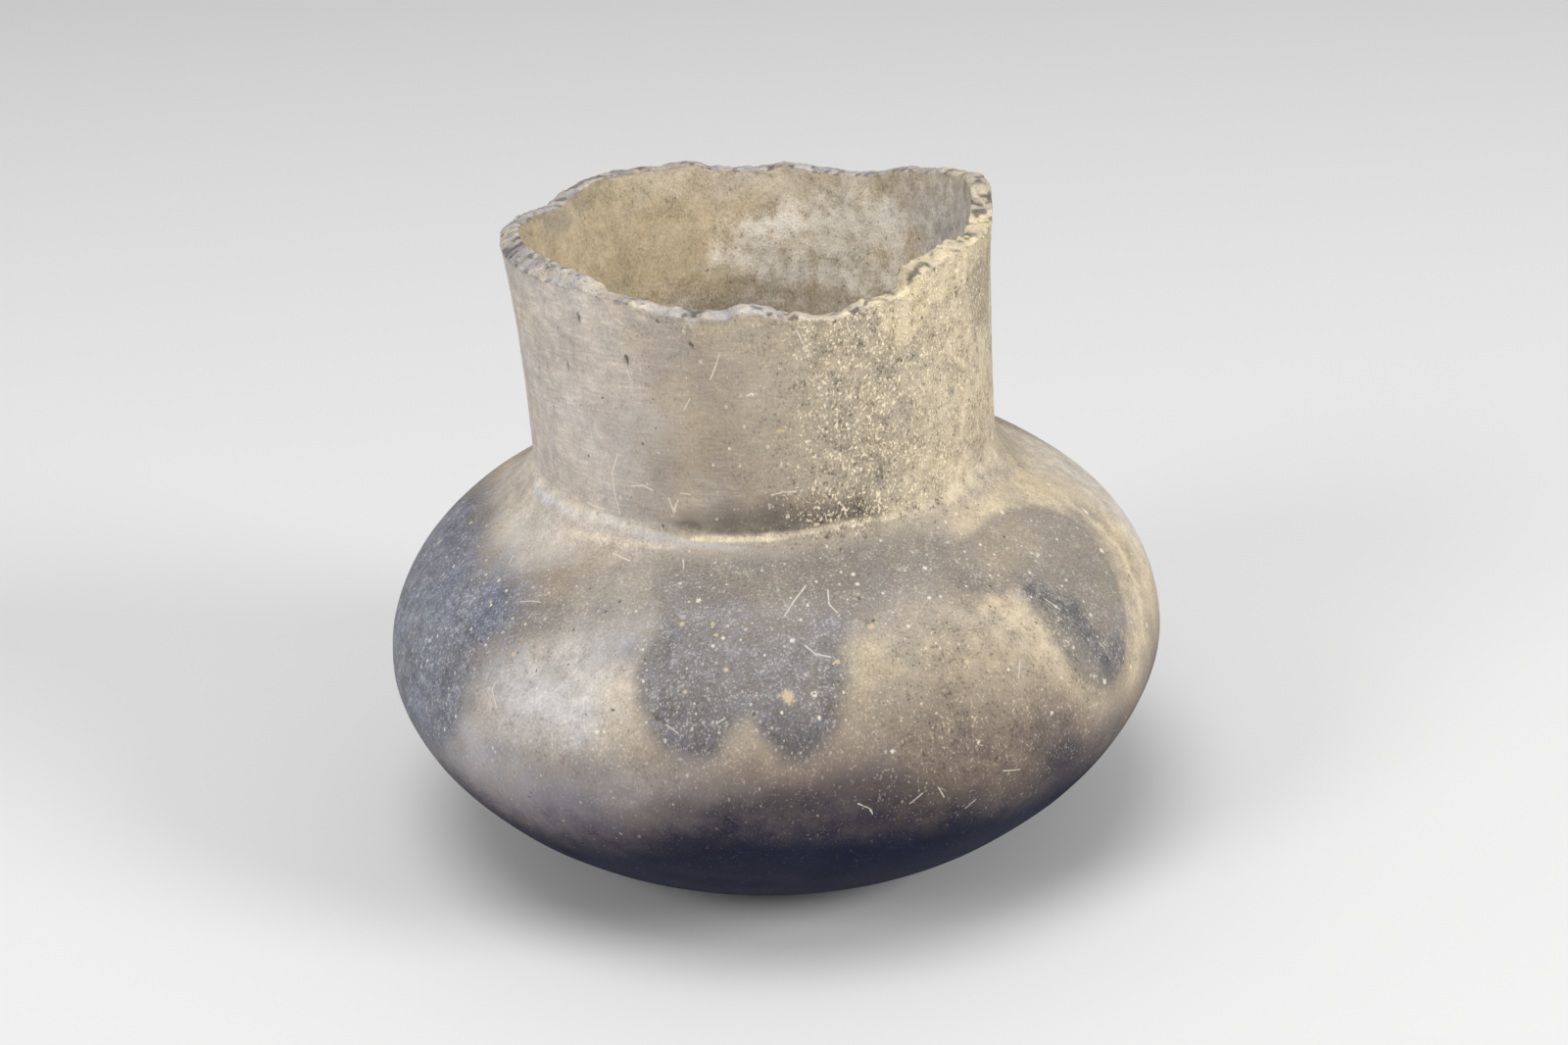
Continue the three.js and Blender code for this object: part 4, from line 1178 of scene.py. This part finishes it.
class Nodes:
    """Lays out nodes in one tree. Each input is given as a value, or as the output that feeds it."""

    # The places of the colour sockets on a Mix node
    SHARE = 0
    UNDER = 6
    OVER = 7
    MIXED = 2

    def __init__(self, tree):
        self.tree = tree

    def add(self, kind, settings=None, **inputs):
        """A node of a kind, with its settings and its inputs by name."""
        node = self.tree.nodes.new(kind)
        for name, value in (settings or {}).items():
            setattr(node, name, value)
        for name, value in inputs.items():
            self.feed(node.inputs[name.replace("_", " ")], value)
        return node

    def feed(self, socket, value):
        """Links an output to a socket, or sets a value in it."""
        if isinstance(value, bpy.types.NodeSocket):
            self.tree.links.new(value, socket)
        elif socket.type == "RGBA":
            socket.default_value = (*value, 1)
        else:
            socket.default_value = value

    def math(self, operation, *values, clamp=False):
        node = self.add("ShaderNodeMath", {"operation": operation, "use_clamp": clamp})
        for socket, value in zip(node.inputs, values):
            self.feed(socket, value)
        return node.outputs[0]

    def times(self, first, second):
        return self.math("MULTIPLY", first, second)

    def scaled(self, value, factor, added, clamp=False):
        """value x factor + added."""
        return self.math("MULTIPLY_ADD", value, factor, added, clamp=clamp)

    def vector(self, operation, *values, scale=None):
        node = self.add("ShaderNodeVectorMath", {"operation": operation})
        for socket, value in zip(node.inputs, values):
            self.feed(socket, value)
        if scale is not None:
            self.feed(node.inputs["Scale"], scale)
        return node.outputs["Value" if operation == "LENGTH" else "Vector"]

    def ramp(self, value, low, high, to_low=0.0, to_high=1.0):
        """A smooth rise from to_low at low to to_high at high."""
        node = self.add("ShaderNodeMapRange", {"interpolation_type": "SMOOTHSTEP"}, Value=value,
                        From_Min=low, From_Max=high, To_Min=to_low, To_Max=to_high)
        return node.outputs[0]

    def mix(self, share, under, over, blend="MIX"):
        """One colour laid over another by a share."""
        node = self.add("ShaderNodeMix", {"data_type": "RGBA", "blend_type": blend})
        self.feed(node.inputs[self.SHARE], share)
        self.feed(node.inputs[self.UNDER], under)
        self.feed(node.inputs[self.OVER], over)
        return node.outputs[self.MIXED]

    def noise(self, place, scale, detail, roughness=0.5):
        """A noise node. Its scale is in cells to the millimetre."""
        return self.add("ShaderNodeTexNoise", Vector=place, Scale=scale, Detail=detail,
                        Roughness=roughness)

    def centred_noise(self, place, scale, detail, roughness):
        """Noise from about -0.5 to 0.5."""
        return self.math("SUBTRACT", self.noise(place, scale, detail, roughness).outputs[0], 0.5)

    def group(self, tree, **inputs):
        return self.add("ShaderNodeGroup", {"node_tree": tree}, **inputs)


def new_group(name, inputs, outputs):
    """An empty node group with named sockets: its tree, what it is given and what it ends in."""
    tree = bpy.data.node_groups.new(name, "ShaderNodeTree")
    for label, kind, default in inputs:
        socket = tree.interface.new_socket(label, in_out="INPUT", socket_type="NodeSocket" + kind)
        if default is not None:
            socket.default_value = default
    for label, kind in outputs:
        tree.interface.new_socket(label, in_out="OUTPUT", socket_type="NodeSocket" + kind)
    start = tree.nodes.new("NodeGroupInput")
    end = tree.nodes.new("NodeGroupOutput")
    return tree, start.outputs, end.inputs


def crumbs_group():
    """Large crumbs of shell and grit in the clay: blobs at random places, each 0.35 to 1 of the largest
    size and 0.25 to 1 of the full paleness. Share is how many are there. A few others are pits. Spacing
    is in millimetres. Size, the largest radius, and Raggedness, added to the distance, are in spacings."""
    tree, given, end = new_group(
        "temper_crumbs",
        [("Position", "Vector", None), ("Raggedness", "Float", 0.0), ("Spacing", "Float", 3.0),
         ("Size", "Float", 0.25), ("Share", "Float", 0.5)],
        [("Mask", "Float"), ("Pit", "Float")])
    nodes = Nodes(tree)
    cells = nodes.add("ShaderNodeTexVoronoi", Vector=given["Position"],
                      Scale=nodes.math("DIVIDE", 1.0, given["Spacing"]))
    chance, bulk, paleness = nodes.add("ShaderNodeSeparateColor", Color=cells.outputs["Color"]).outputs
    radius = nodes.times(nodes.scaled(nodes.math("POWER", bulk, 1.5), 0.65, 0.35), given["Size"])
    distance = nodes.math("ADD", cells.outputs["Distance"], given["Raggedness"])
    blob = nodes.ramp(distance, nodes.times(radius, 0.6), radius, 1.0, 0.0)
    held = nodes.math("LESS_THAN", chance, given["Share"])
    fallen = nodes.math("GREATER_THAN", chance, 0.97)
    nodes.feed(end["Mask"], nodes.times(nodes.times(blob, held), nodes.scaled(paleness, 0.75, 0.25)))
    nodes.feed(end["Pit"], nodes.times(blob, fallen))
    return tree


def scuffs_group():
    """Short hairline scuffs: very long and thin blobs, turned one way, only in some places."""
    tree, given, end = new_group(
        "hairline_scuffs",
        [("Position", "Vector", None), ("Turn", "Vector", None), ("Length", "Float", 12.0),
         ("Width", "Float", 0.8), ("Share", "Float", 0.2)],
        [("Mask", "Float")])
    nodes = Nodes(tree)
    turned = nodes.add("ShaderNodeVectorRotate", {"rotation_type": "EULER_XYZ"}, Vector=given["Position"],
                       Rotation=given["Turn"])
    thin = nodes.math("DIVIDE", 1.0, given["Width"])
    long = nodes.math("DIVIDE", 1.0, given["Length"])
    stretch = nodes.add("ShaderNodeCombineXYZ", X=long, Y=thin, Z=thin)
    drawn = nodes.vector("MULTIPLY", turned.outputs[0], stretch.outputs[0])
    cells = nodes.add("ShaderNodeTexVoronoi", Vector=drawn, Scale=1.0)
    chance = nodes.add("ShaderNodeSeparateColor", Color=cells.outputs["Color"]).outputs[0]
    held = nodes.math("LESS_THAN", chance, given["Share"])
    line = nodes.ramp(cells.outputs["Distance"], 0.06, 0.2, 1.0, 0.0)
    nodes.feed(end["Mask"], nodes.times(line, held))
    return tree


def detail_group():
    """A small thing placed on the clay: Reach is 1 long at its edge. Tone 0 is pale, 0.5 yellow and 1 dark
    with a hole's painted shade, and a faint scratch has -1."""
    tree, given, end = new_group(
        "placed_detail",
        [("Reach", "Vector", None), ("Tone", "Float", 0.0), ("Raggedness", "Float", 0.0)],
        [("Mask", "Float"), ("Color", "Color")])
    nodes = Nodes(tree)
    away = nodes.math("ADD", nodes.vector("LENGTH", given["Reach"]), given["Raggedness"])
    strength = nodes.scaled(nodes.math("MINIMUM", given["Tone"], 0.0), 0.15, 0.8)
    nodes.feed(end["Mask"], nodes.times(nodes.ramp(away, 0.5, 1.1, 1.0, 0.0), strength))
    warm = nodes.math("MULTIPLY", given["Tone"], 2.0, clamp=True)
    dark = nodes.scaled(given["Tone"], 2.0, -1.0, clamp=True)
    nodes.feed(end["Color"], nodes.mix(dark, nodes.mix(warm, SHELL, YOLK), HOLE_SHADE))
    return tree


def streaks_group():
    """Level wiping marks: noise drawn out round the pot. Value is from -1 to 1."""
    tree, given, end = new_group(
        "wiping_streaks",
        [("Position", "Vector", None), ("Length", "Float", 20.0), ("Height", "Float", 1.2)],
        [("Value", "Float")])
    nodes = Nodes(tree)
    flat = nodes.math("DIVIDE", 1.0, given["Length"])
    steep = nodes.math("DIVIDE", 1.0, given["Height"])
    stretch = nodes.add("ShaderNodeCombineXYZ", X=flat, Y=flat, Z=steep)
    drawn = nodes.vector("MULTIPLY", given["Position"], stretch.outputs[0])
    nodes.feed(end["Value"], nodes.scaled(nodes.noise(drawn, 1.0, 2.0, 0.6).outputs[0], 2.0, -1.0))
    return tree


def grit_group():
    """Fine grit: where a noise is high the crumbs stand out pale, and where it is low they have fallen out.
    Share is how much of the surface they cover, from 0 for almost none to 1 for about half of it."""
    tree, given, end = new_group(
        "fine_grit",
        [("Noise", "Float", 0.0), ("Share", "Float", 0.2)],
        [("Crumbs", "Float"), ("Holes", "Float")])
    nodes = Nodes(tree)
    high = nodes.scaled(given["Share"], -0.21, 0.2)
    low = nodes.scaled(given["Share"], -0.03, 0.16)
    nodes.feed(end["Crumbs"], nodes.ramp(given["Noise"], high, nodes.math("ADD", high, 0.08)))
    fallen = nodes.times(given["Noise"], -1.0)
    nodes.feed(end["Holes"], nodes.ramp(fallen, low, nodes.math("ADD", low, 0.09)))
    return tree


# The clay's colours, as linear red, green and blue
PASTE = (0.375, 0.322, 0.262)
BUFF = (0.68, 0.57, 0.405)
CRUST = (0.76, 0.64, 0.43)
SAND = (0.92, 0.79, 0.56)
# Pale bloom, and painted sheen on the front's left
BLOOM_AND_SHEEN = (0.63, 0.615, 0.61)
ROSE = (0.53, 0.475, 0.432)
SOOT = (0.138, 0.134, 0.14)
# Painted shade, multiplied over the lower body
PAINTED_SHADE_TINT = (0.41, 0.385, 0.43)
# Soot black with a navy cast: partly painted shade and a painted reflection of blue light
SCORCH_AND_SHADE = (0.004, 0.006, 0.025)
# Brown stain, and painted shade in the crook, hollows, pits and nicks
UMBER_AND_SHADE = (0.14, 0.118, 0.10)
CREAM = (0.74, 0.64, 0.47)
OLIVE = (0.55, 0.445, 0.29)
LIME = (0.88, 0.82, 0.72)
# Blue-grey, in places a painted reflection of blue light
SLATE_AND_REFLECTION = (0.20, 0.218, 0.28)
SHELL = (0.78, 0.72, 0.61)
GRIT = (0.69, 0.61, 0.48)
YOLK = (0.60, 0.49, 0.30)
# Painted shade in holes, pits and nicks
HOLE_SHADE = (0.10, 0.085, 0.07)
SCUFF = (0.70, 0.67, 0.64)

# The marks in the order in which they lie over the paste, each with its colour and how broken its edge is
LAYERS = [
    ("Inside", OLIVE, 0.5), ("Rose", ROSE, 0.6), ("Buff", BUFF, 0.3), ("Bloom And Sheen", BLOOM_AND_SHEEN, 0.35),
    ("Crust", CRUST, 1.3), ("Umber And Shade", UMBER_AND_SHADE, 0.8), ("Soot", SOOT, 1.2), ("Slate And Reflection", SLATE_AND_REFLECTION, 1.1),
    ("Lime", LIME, 1.1), ("Cream", CREAM, 0.6), ("Painted Shade", PAINTED_SHADE_TINT, 0.4), ("Scorch And Shade", SCORCH_AND_SHADE, 0.9),
]


class FiredClay(Nodes):
    """The nodes of low-fired, hand-smoothed earthenware, with what they share: the marks that they are
    given, noises, wiping streaks, small grit and large crumbs."""

    def __init__(self, tree, given):
        super().__init__(tree)
        self.given = given
        position = given["Position"]
        self.upright = self.vector("MULTIPLY", position, (1.0, 1.0, 0.7))
        self.fine = self.centred_noise(self.upright, 1.8, 2.0, 0.65)
        self.coarse = self.centred_noise(self.upright, 1.35, 3.0, 0.7)
        self.middle = self.centred_noise(position, 0.26, 4.0, 0.66)
        self.broad = self.centred_noise(position, 0.06, 1.0, 0.5)
        self.flicker = self.scaled(self.fine, 0.8, self.times(self.middle, 1.4))
        self.bend = self.noise(position, 0.09, 1.0).outputs["Color"]
        self.rough_skin = self.math("MAXIMUM", given["Grain"], given["Inside"])
        self.worn_and_sheened = self.math("MAXIMUM", given["Bloom And Sheen"], self.times(given["Rose"], 0.7))
        self.rugged = self.times(given["Grain"], self.scaled(given["Inside"], -0.45, 1.0))
        # Soot blackening and painted shade on the lower body, under which grit and scuffs are hidden
        smoke_and_shade = self.math("MAXIMUM", given["Scorch And Shade"], self.times(given["Painted Shade"], 0.5))
        self.clean = self.scaled(smoke_and_shade, -0.92, 1.0)
        self.streak = self.wiping_streak()
        self.small = self.small_grit()
        self.large = self.large_crumbs()

    def wiping_streak(self):
        """Wiping marks, patchy, and faint where the clay is granular and inside the pot."""
        wiping = self.group(streaks_group(), Position=self.given["Position"], Length=6.0, Height=0.7)
        wiped = self.scaled(self.rough_skin, -0.9, 1.0)
        wiped = self.times(wiped, self.ramp(self.middle, -0.12, 0.1, 0.2, 1.0))
        return self.times(wiping.outputs[0], self.times(wiped, self.given["Streak Strength"]))

    def small_grit(self):
        """Grit that is finer in smooth clay and coarser and denser where the clay is granular."""
        grain = self.given["Grain"]
        share = self.scaled(self.given["Soot"], 0.1, self.given["Grit Share"])
        share = self.math("MAXIMUM", share, self.scaled(grain, 0.8, 0.05), clamp=True)
        speckle = self.times(self.fine, self.scaled(grain, -0.2, 1.0))
        speckle = self.scaled(self.coarse, self.times(grain, 0.75), speckle)
        return self.group(grit_group(), Noise=self.scaled(self.middle, 0.3, speckle), Share=share)

    def large_crumbs(self):
        """Crumbs up to 1 mm wide. More of them show in the smoky clouds."""
        return self.group(crumbs_group(), Position=self.upright, Raggedness=self.times(self.fine, 0.5),
                          Spacing=1.8, Size=0.27, Share=self.scaled(self.given["Soot"], 0.35, 0.45))

    def broken(self, name, strength):
        """A mark with its soft edge broken up: mark + flicker x strength x 4 mark (1 - mark)."""
        mark = self.given[name]
        edge = self.times(self.times(mark, self.math("SUBTRACT", 1.0, mark)), 4 * strength)
        return self.scaled(self.flicker, edge, mark, clamp=True)

    def marked(self):
        """The paste under its marks. Soot is thinner in places, and the painted shade low on the body
        darkens what it lies on.
        """
        colour = PASTE
        for name, tone, strength in LAYERS:
            share = self.broken(name, strength)
            if name == "Soot":
                share = self.times(share, self.ramp(self.middle, -0.06, 0.16, 1.0, 0.68))
            colour = self.mix(share, colour, tone, "MULTIPLY" if name == "Painted Shade" else "MIX")
        return colour

    def mottled(self, colour):
        """Lightens and darkens the clay by the noises and the streaks, most where it is granular or sooty,
        and warms or cools it a little."""
        soot = self.given["Soot"]
        grained = self.scaled(self.rugged, 0.5, self.scaled(self.worn_and_sheened, -0.4, 0.9))
        grained = self.scaled(soot, 0.9, grained)
        blotched = self.math("MAXIMUM", self.rugged, self.times(self.given["Rose"], 0.1))
        blotched = self.math("ADD", blotched, self.scaled(soot, 0.4, 0.78))
        speckled = self.scaled(soot, 0.5, self.scaled(self.rugged, 0.5, 0.2))
        light = 1.0
        for shade, strength in ((self.broad, 0.45), (self.middle, blotched), (self.coarse, speckled),
                                (self.fine, grained), (self.streak, 0.45)):
            light = self.scaled(shade, strength, light)
        drift = self.add("ShaderNodeSeparateColor", Color=self.bend).outputs["Green"]
        warmth = self.math("SUBTRACT", self.scaled(self.middle, 0.5, drift), 0.5)
        tint = self.add("ShaderNodeCombineColor", Red=self.scaled(warmth, 0.08, light), Green=light,
                        Blue=self.scaled(warmth, -0.12, light))
        return self.mix(1.0, colour, tint.outputs[0], "MULTIPLY")

    def gritty(self, colour):
        """Pale grit and crumbs, which smoke and the painted shade low on the body hide, and painted shade
        in the holes where some have fallen out.
        """
        grain = self.given["Grain"]
        grit = self.mix(self.given["Lime"], self.mix(grain, GRIT, SAND), LIME)
        shown = self.scaled(grain, 0.5, self.scaled(self.worn_and_sheened, -0.2, 0.4))
        bright = self.scaled(self.given["Soot"], 0.35, 0.65)
        for mask, strength, tone in ((self.small.outputs["Crumbs"], shown, grit),
                                     (self.large.outputs["Mask"], bright, SHELL)):
            colour = self.mix(self.times(mask, self.times(self.clean, strength)), colour, tone)
        fallen = self.scaled(self.given["Inside"], -0.3, 0.4)
        for mask, strength in ((self.small.outputs["Holes"], fallen), (self.large.outputs["Pit"], 0.6)):
            colour = self.mix(self.times(mask, strength), colour, HOLE_SHADE)
        return colour

    def scuffed(self, colour):
        """Hairline scuffs in two directions on bent lines, which smoke and the painted shade low on the
        body hide.
        """
        scuffs = scuffs_group()
        bent = self.vector("ADD", self.given["Position"], self.vector("SCALE", self.bend, scale=9.0))
        strength = self.times(self.ramp(self.broad, -0.1, 0.12, 0.1, 0.45), self.clean)
        for turn in ((0.3, 0.5, 0.9), (1.2, 0.2, -0.6)):
            scuff = self.group(scuffs, Position=bent, Turn=turn, Length=9.0, Width=0.75, Share=0.2)
            colour = self.mix(self.times(scuff.outputs[0], strength), colour, SCUFF)
        return colour

    def detailed(self, colour):
        """The placed spots and scratches, their edges torn by the noises."""
        detail = detail_group()
        torn = self.scaled(self.fine, 2.6, self.times(self.middle, 2.0))
        for name in DETAILS:
            placed = self.group(detail, Reach=self.given[name], Tone=self.given[name + " Tone"],
                                Raggedness=torn)
            colour = self.mix(placed.outputs["Mask"], colour, placed.outputs["Color"])
        return colour

    def roughness(self):
        """Sooty and bleached clay is a little smoother, and granular clay and the inside are rougher."""
        rough = self.scaled(self.given["Soot"], -0.08, 0.68)
        rough = self.scaled(self.given["Bloom And Sheen"], -0.1, rough)
        rough = self.scaled(self.rough_skin, 0.3, rough)
        return self.scaled(self.fine, 0.25, rough, clamp=True)

    def height(self):
        """The finest relief in millimetres: fine noise, streaks, grit, weathering and pits."""
        grain = self.given["Grain"]
        standing = self.math("SUBTRACT", self.small.outputs["Crumbs"], self.small.outputs["Holes"])
        height = self.times(self.fine, 0.1)
        for rise, strength in ((self.streak, 0.05), (self.times(standing, grain), 0.2),
                               (self.times(self.middle, grain), 0.5), (self.large.outputs["Pit"], -0.3)):
            height = self.scaled(rise, strength, height)
        return height


def clay_group():
    """Fired clay: its colour, roughness and height in millimetres, from its marks and placed details."""
    tree, given, end = new_group(
        "fired_clay",
        [("Position", "Vector", None), *((name, "Float", 0.0) for name in MARKS),
         *((name, "Vector", None) for name in DETAILS),
         *((name + " Tone", "Float", 0.0) for name in DETAILS),
         ("Grit Share", "Float", 0.2), ("Streak Strength", "Float", 0.5)],
        [("Color", "Color"), ("Roughness", "Float"), ("Height", "Float")])
    clay = FiredClay(tree, given)
    colour = clay.mottled(clay.marked())
    colour = clay.scuffed(clay.gritty(colour))
    clay.feed(end["Color"], clay.detailed(colour))
    clay.feed(end["Roughness"], clay.roughness())
    clay.feed(end["Height"], clay.height())
    return tree


CLAY_SHINE = 0.16


def clay_material(name, clay, grit_share, streak_strength):
    """A clay material: the fired clay, fed by the marks and the placed details of the mesh."""
    material = bpy.data.materials.new(name)
    material.use_nodes = True
    nodes = Nodes(material.node_tree)
    shader = material.node_tree.nodes["Principled BSDF"]
    places = nodes.add("ShaderNodeTexCoord")
    fed = {"Position": nodes.vector("SCALE", places.outputs["Object"], scale=1 / MM),
           "Grit_Share": grit_share, "Streak_Strength": streak_strength}
    for mark in MARKS:
        fed[mark] = nodes.add("ShaderNodeAttribute", {"attribute_name": mark}).outputs["Fac"]
    for detail in DETAILS:
        held = nodes.add("ShaderNodeAttribute", {"attribute_name": detail})
        fed[detail] = held.outputs["Color"]
        fed[detail + " Tone"] = held.outputs["Alpha"]
    finish = nodes.group(clay, **fed)
    bump = nodes.add("ShaderNodeBump", Height=finish.outputs["Height"], Distance=MM, Strength=1.0)
    nodes.feed(shader.inputs["Base Color"], finish.outputs["Color"])
    nodes.feed(shader.inputs["Roughness"], finish.outputs["Roughness"])
    nodes.feed(shader.inputs["Normal"], bump.outputs[0])
    shader.inputs["Specular IOR Level"].default_value = CLAY_SHINE
    return material


# The clay of each slot: its share of fine grit and the strength of its wiping streaks
CLAYS = {"body_clay": (0.5, 0.08), "neck_clay": (0.15, 1.0), "joint_clay": (0.3, 0.3)}
SLOT_OF = {"neck_coil_1": "neck_clay", "neck_coil_2": "neck_clay", "rim_coil": "neck_clay",
           "neck_luting_strip": "joint_clay"}


def make_clays():
    """The three clays by slot."""
    clay = clay_group()
    return {slot: clay_material(slot + "_fired", clay, *finish) for slot, finish in CLAYS.items()}


def plain_material(name, colour, roughness):
    """A material of one even colour."""
    material = bpy.data.materials.new(name)
    material.use_nodes = True
    shader = material.node_tree.nodes["Principled BSDF"]
    shader.inputs["Base Color"].default_value = (*colour, 1)
    shader.inputs["Roughness"].default_value = roughness
    return material


# The photograph's view: the camera's place, its focal length and its sensor in millimetres, and how far it
# looks down and is turned about its own axis in degrees
CAMERA_PLACE = (3.13, -589.87, 324.41)
CAMERA_LENS = 56.5
CAMERA_SENSOR = 36
CAMERA_PITCH = 22.359
CAMERA_ROLL = -2.565

# The lamps: place and width in metres, and power in watts. They are aimed at the pot's middle.
LAMPS = {
    "top_lamp": ((-0.3, -0.9, 2.6), 1.5, 30),
    "left_lamp": ((-2.0, -1.8, 1.7), 1.1, 26),
    "right_lamp": ((2.3, -1.3, 1.4), 1.1, 41),
}
POT_MIDDLE = Vector((0, 0, 0.08))

# The pale floor, and the white surround's strength as a light and as the camera sees it
FLOOR_REACH = 3.0
FLOOR_COLOUR = (0.8, 0.8, 0.8)
FLOOR_ROUGHNESS = 0.9
SURROUND_LIGHT = 0.4
SURROUND_SEEN = 0.8


def add_camera():
    """A camera where the photograph was taken from."""
    data = bpy.data.cameras.new("camera")
    data.sensor_width = CAMERA_SENSOR
    data.lens = CAMERA_LENS
    camera = bpy.data.objects.new("camera", data)
    bpy.context.scene.collection.objects.link(camera)
    stand = Matrix.Translation(Vector(CAMERA_PLACE) * MM)
    tip = Matrix.Rotation(math.radians(90 - CAMERA_PITCH), 4, "X")
    camera.matrix_world = stand @ (tip @ Matrix.Rotation(math.radians(CAMERA_ROLL), 4, "Z"))
    bpy.context.scene.camera = camera


def add_lamp(name, location, size, power):
    """A round soft lamp aimed at the pot's middle."""
    data = bpy.data.lights.new(name, "AREA")
    data.shape = "DISK"
    data.size = size
    data.energy = power
    lamp = bpy.data.objects.new(name, data)
    lamp.location = location
    aim = POT_MIDDLE - Vector(location)
    lamp.rotation_euler = aim.to_track_quat("-Z", "Y").to_euler()
    bpy.context.scene.collection.objects.link(lamp)


def add_floor():
    """A pale square floor under the pot."""
    half = FLOOR_REACH
    mesh = bpy.data.meshes.new("floor")
    corners = [(-half, -half, 0), (half, -half, 0), (half, half, 0), (-half, half, 0)]
    mesh.from_pydata(corners, [], [(0, 1, 2, 3)])
    floor = bpy.data.objects.new("floor", mesh)
    bpy.context.scene.collection.objects.link(floor)
    mesh.materials.append(plain_material("pale_floor", FLOOR_COLOUR, FLOOR_ROUGHNESS))


def add_surround():
    """An even white surround, which the camera sees brighter than it lights the pot."""
    world = bpy.data.worlds.new("surround")
    bpy.context.scene.world = world
    world.use_nodes = True
    nodes = Nodes(world.node_tree)
    seen = nodes.add("ShaderNodeLightPath").outputs["Is Camera Ray"]
    surround = world.node_tree.nodes["Background"]
    surround.inputs["Color"].default_value = (1, 1, 1, 1)
    nodes.feed(surround.inputs["Strength"], nodes.ramp(seen, 0.0, 1.0, SURROUND_LIGHT, SURROUND_SEEN))


bpy.context.scene.view_settings.view_transform = "Standard"
add_camera()
add_floor()
add_surround()
for lamp_name, setting in LAMPS.items():
    add_lamp(lamp_name, *setting)

clays = make_clays()
for node, piece in make_pieces().items():
    slot = SLOT_OF.get(node, "body_clay")
    piece.data.materials.append(clays[slot])
    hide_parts(node)
    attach(piece, "root")
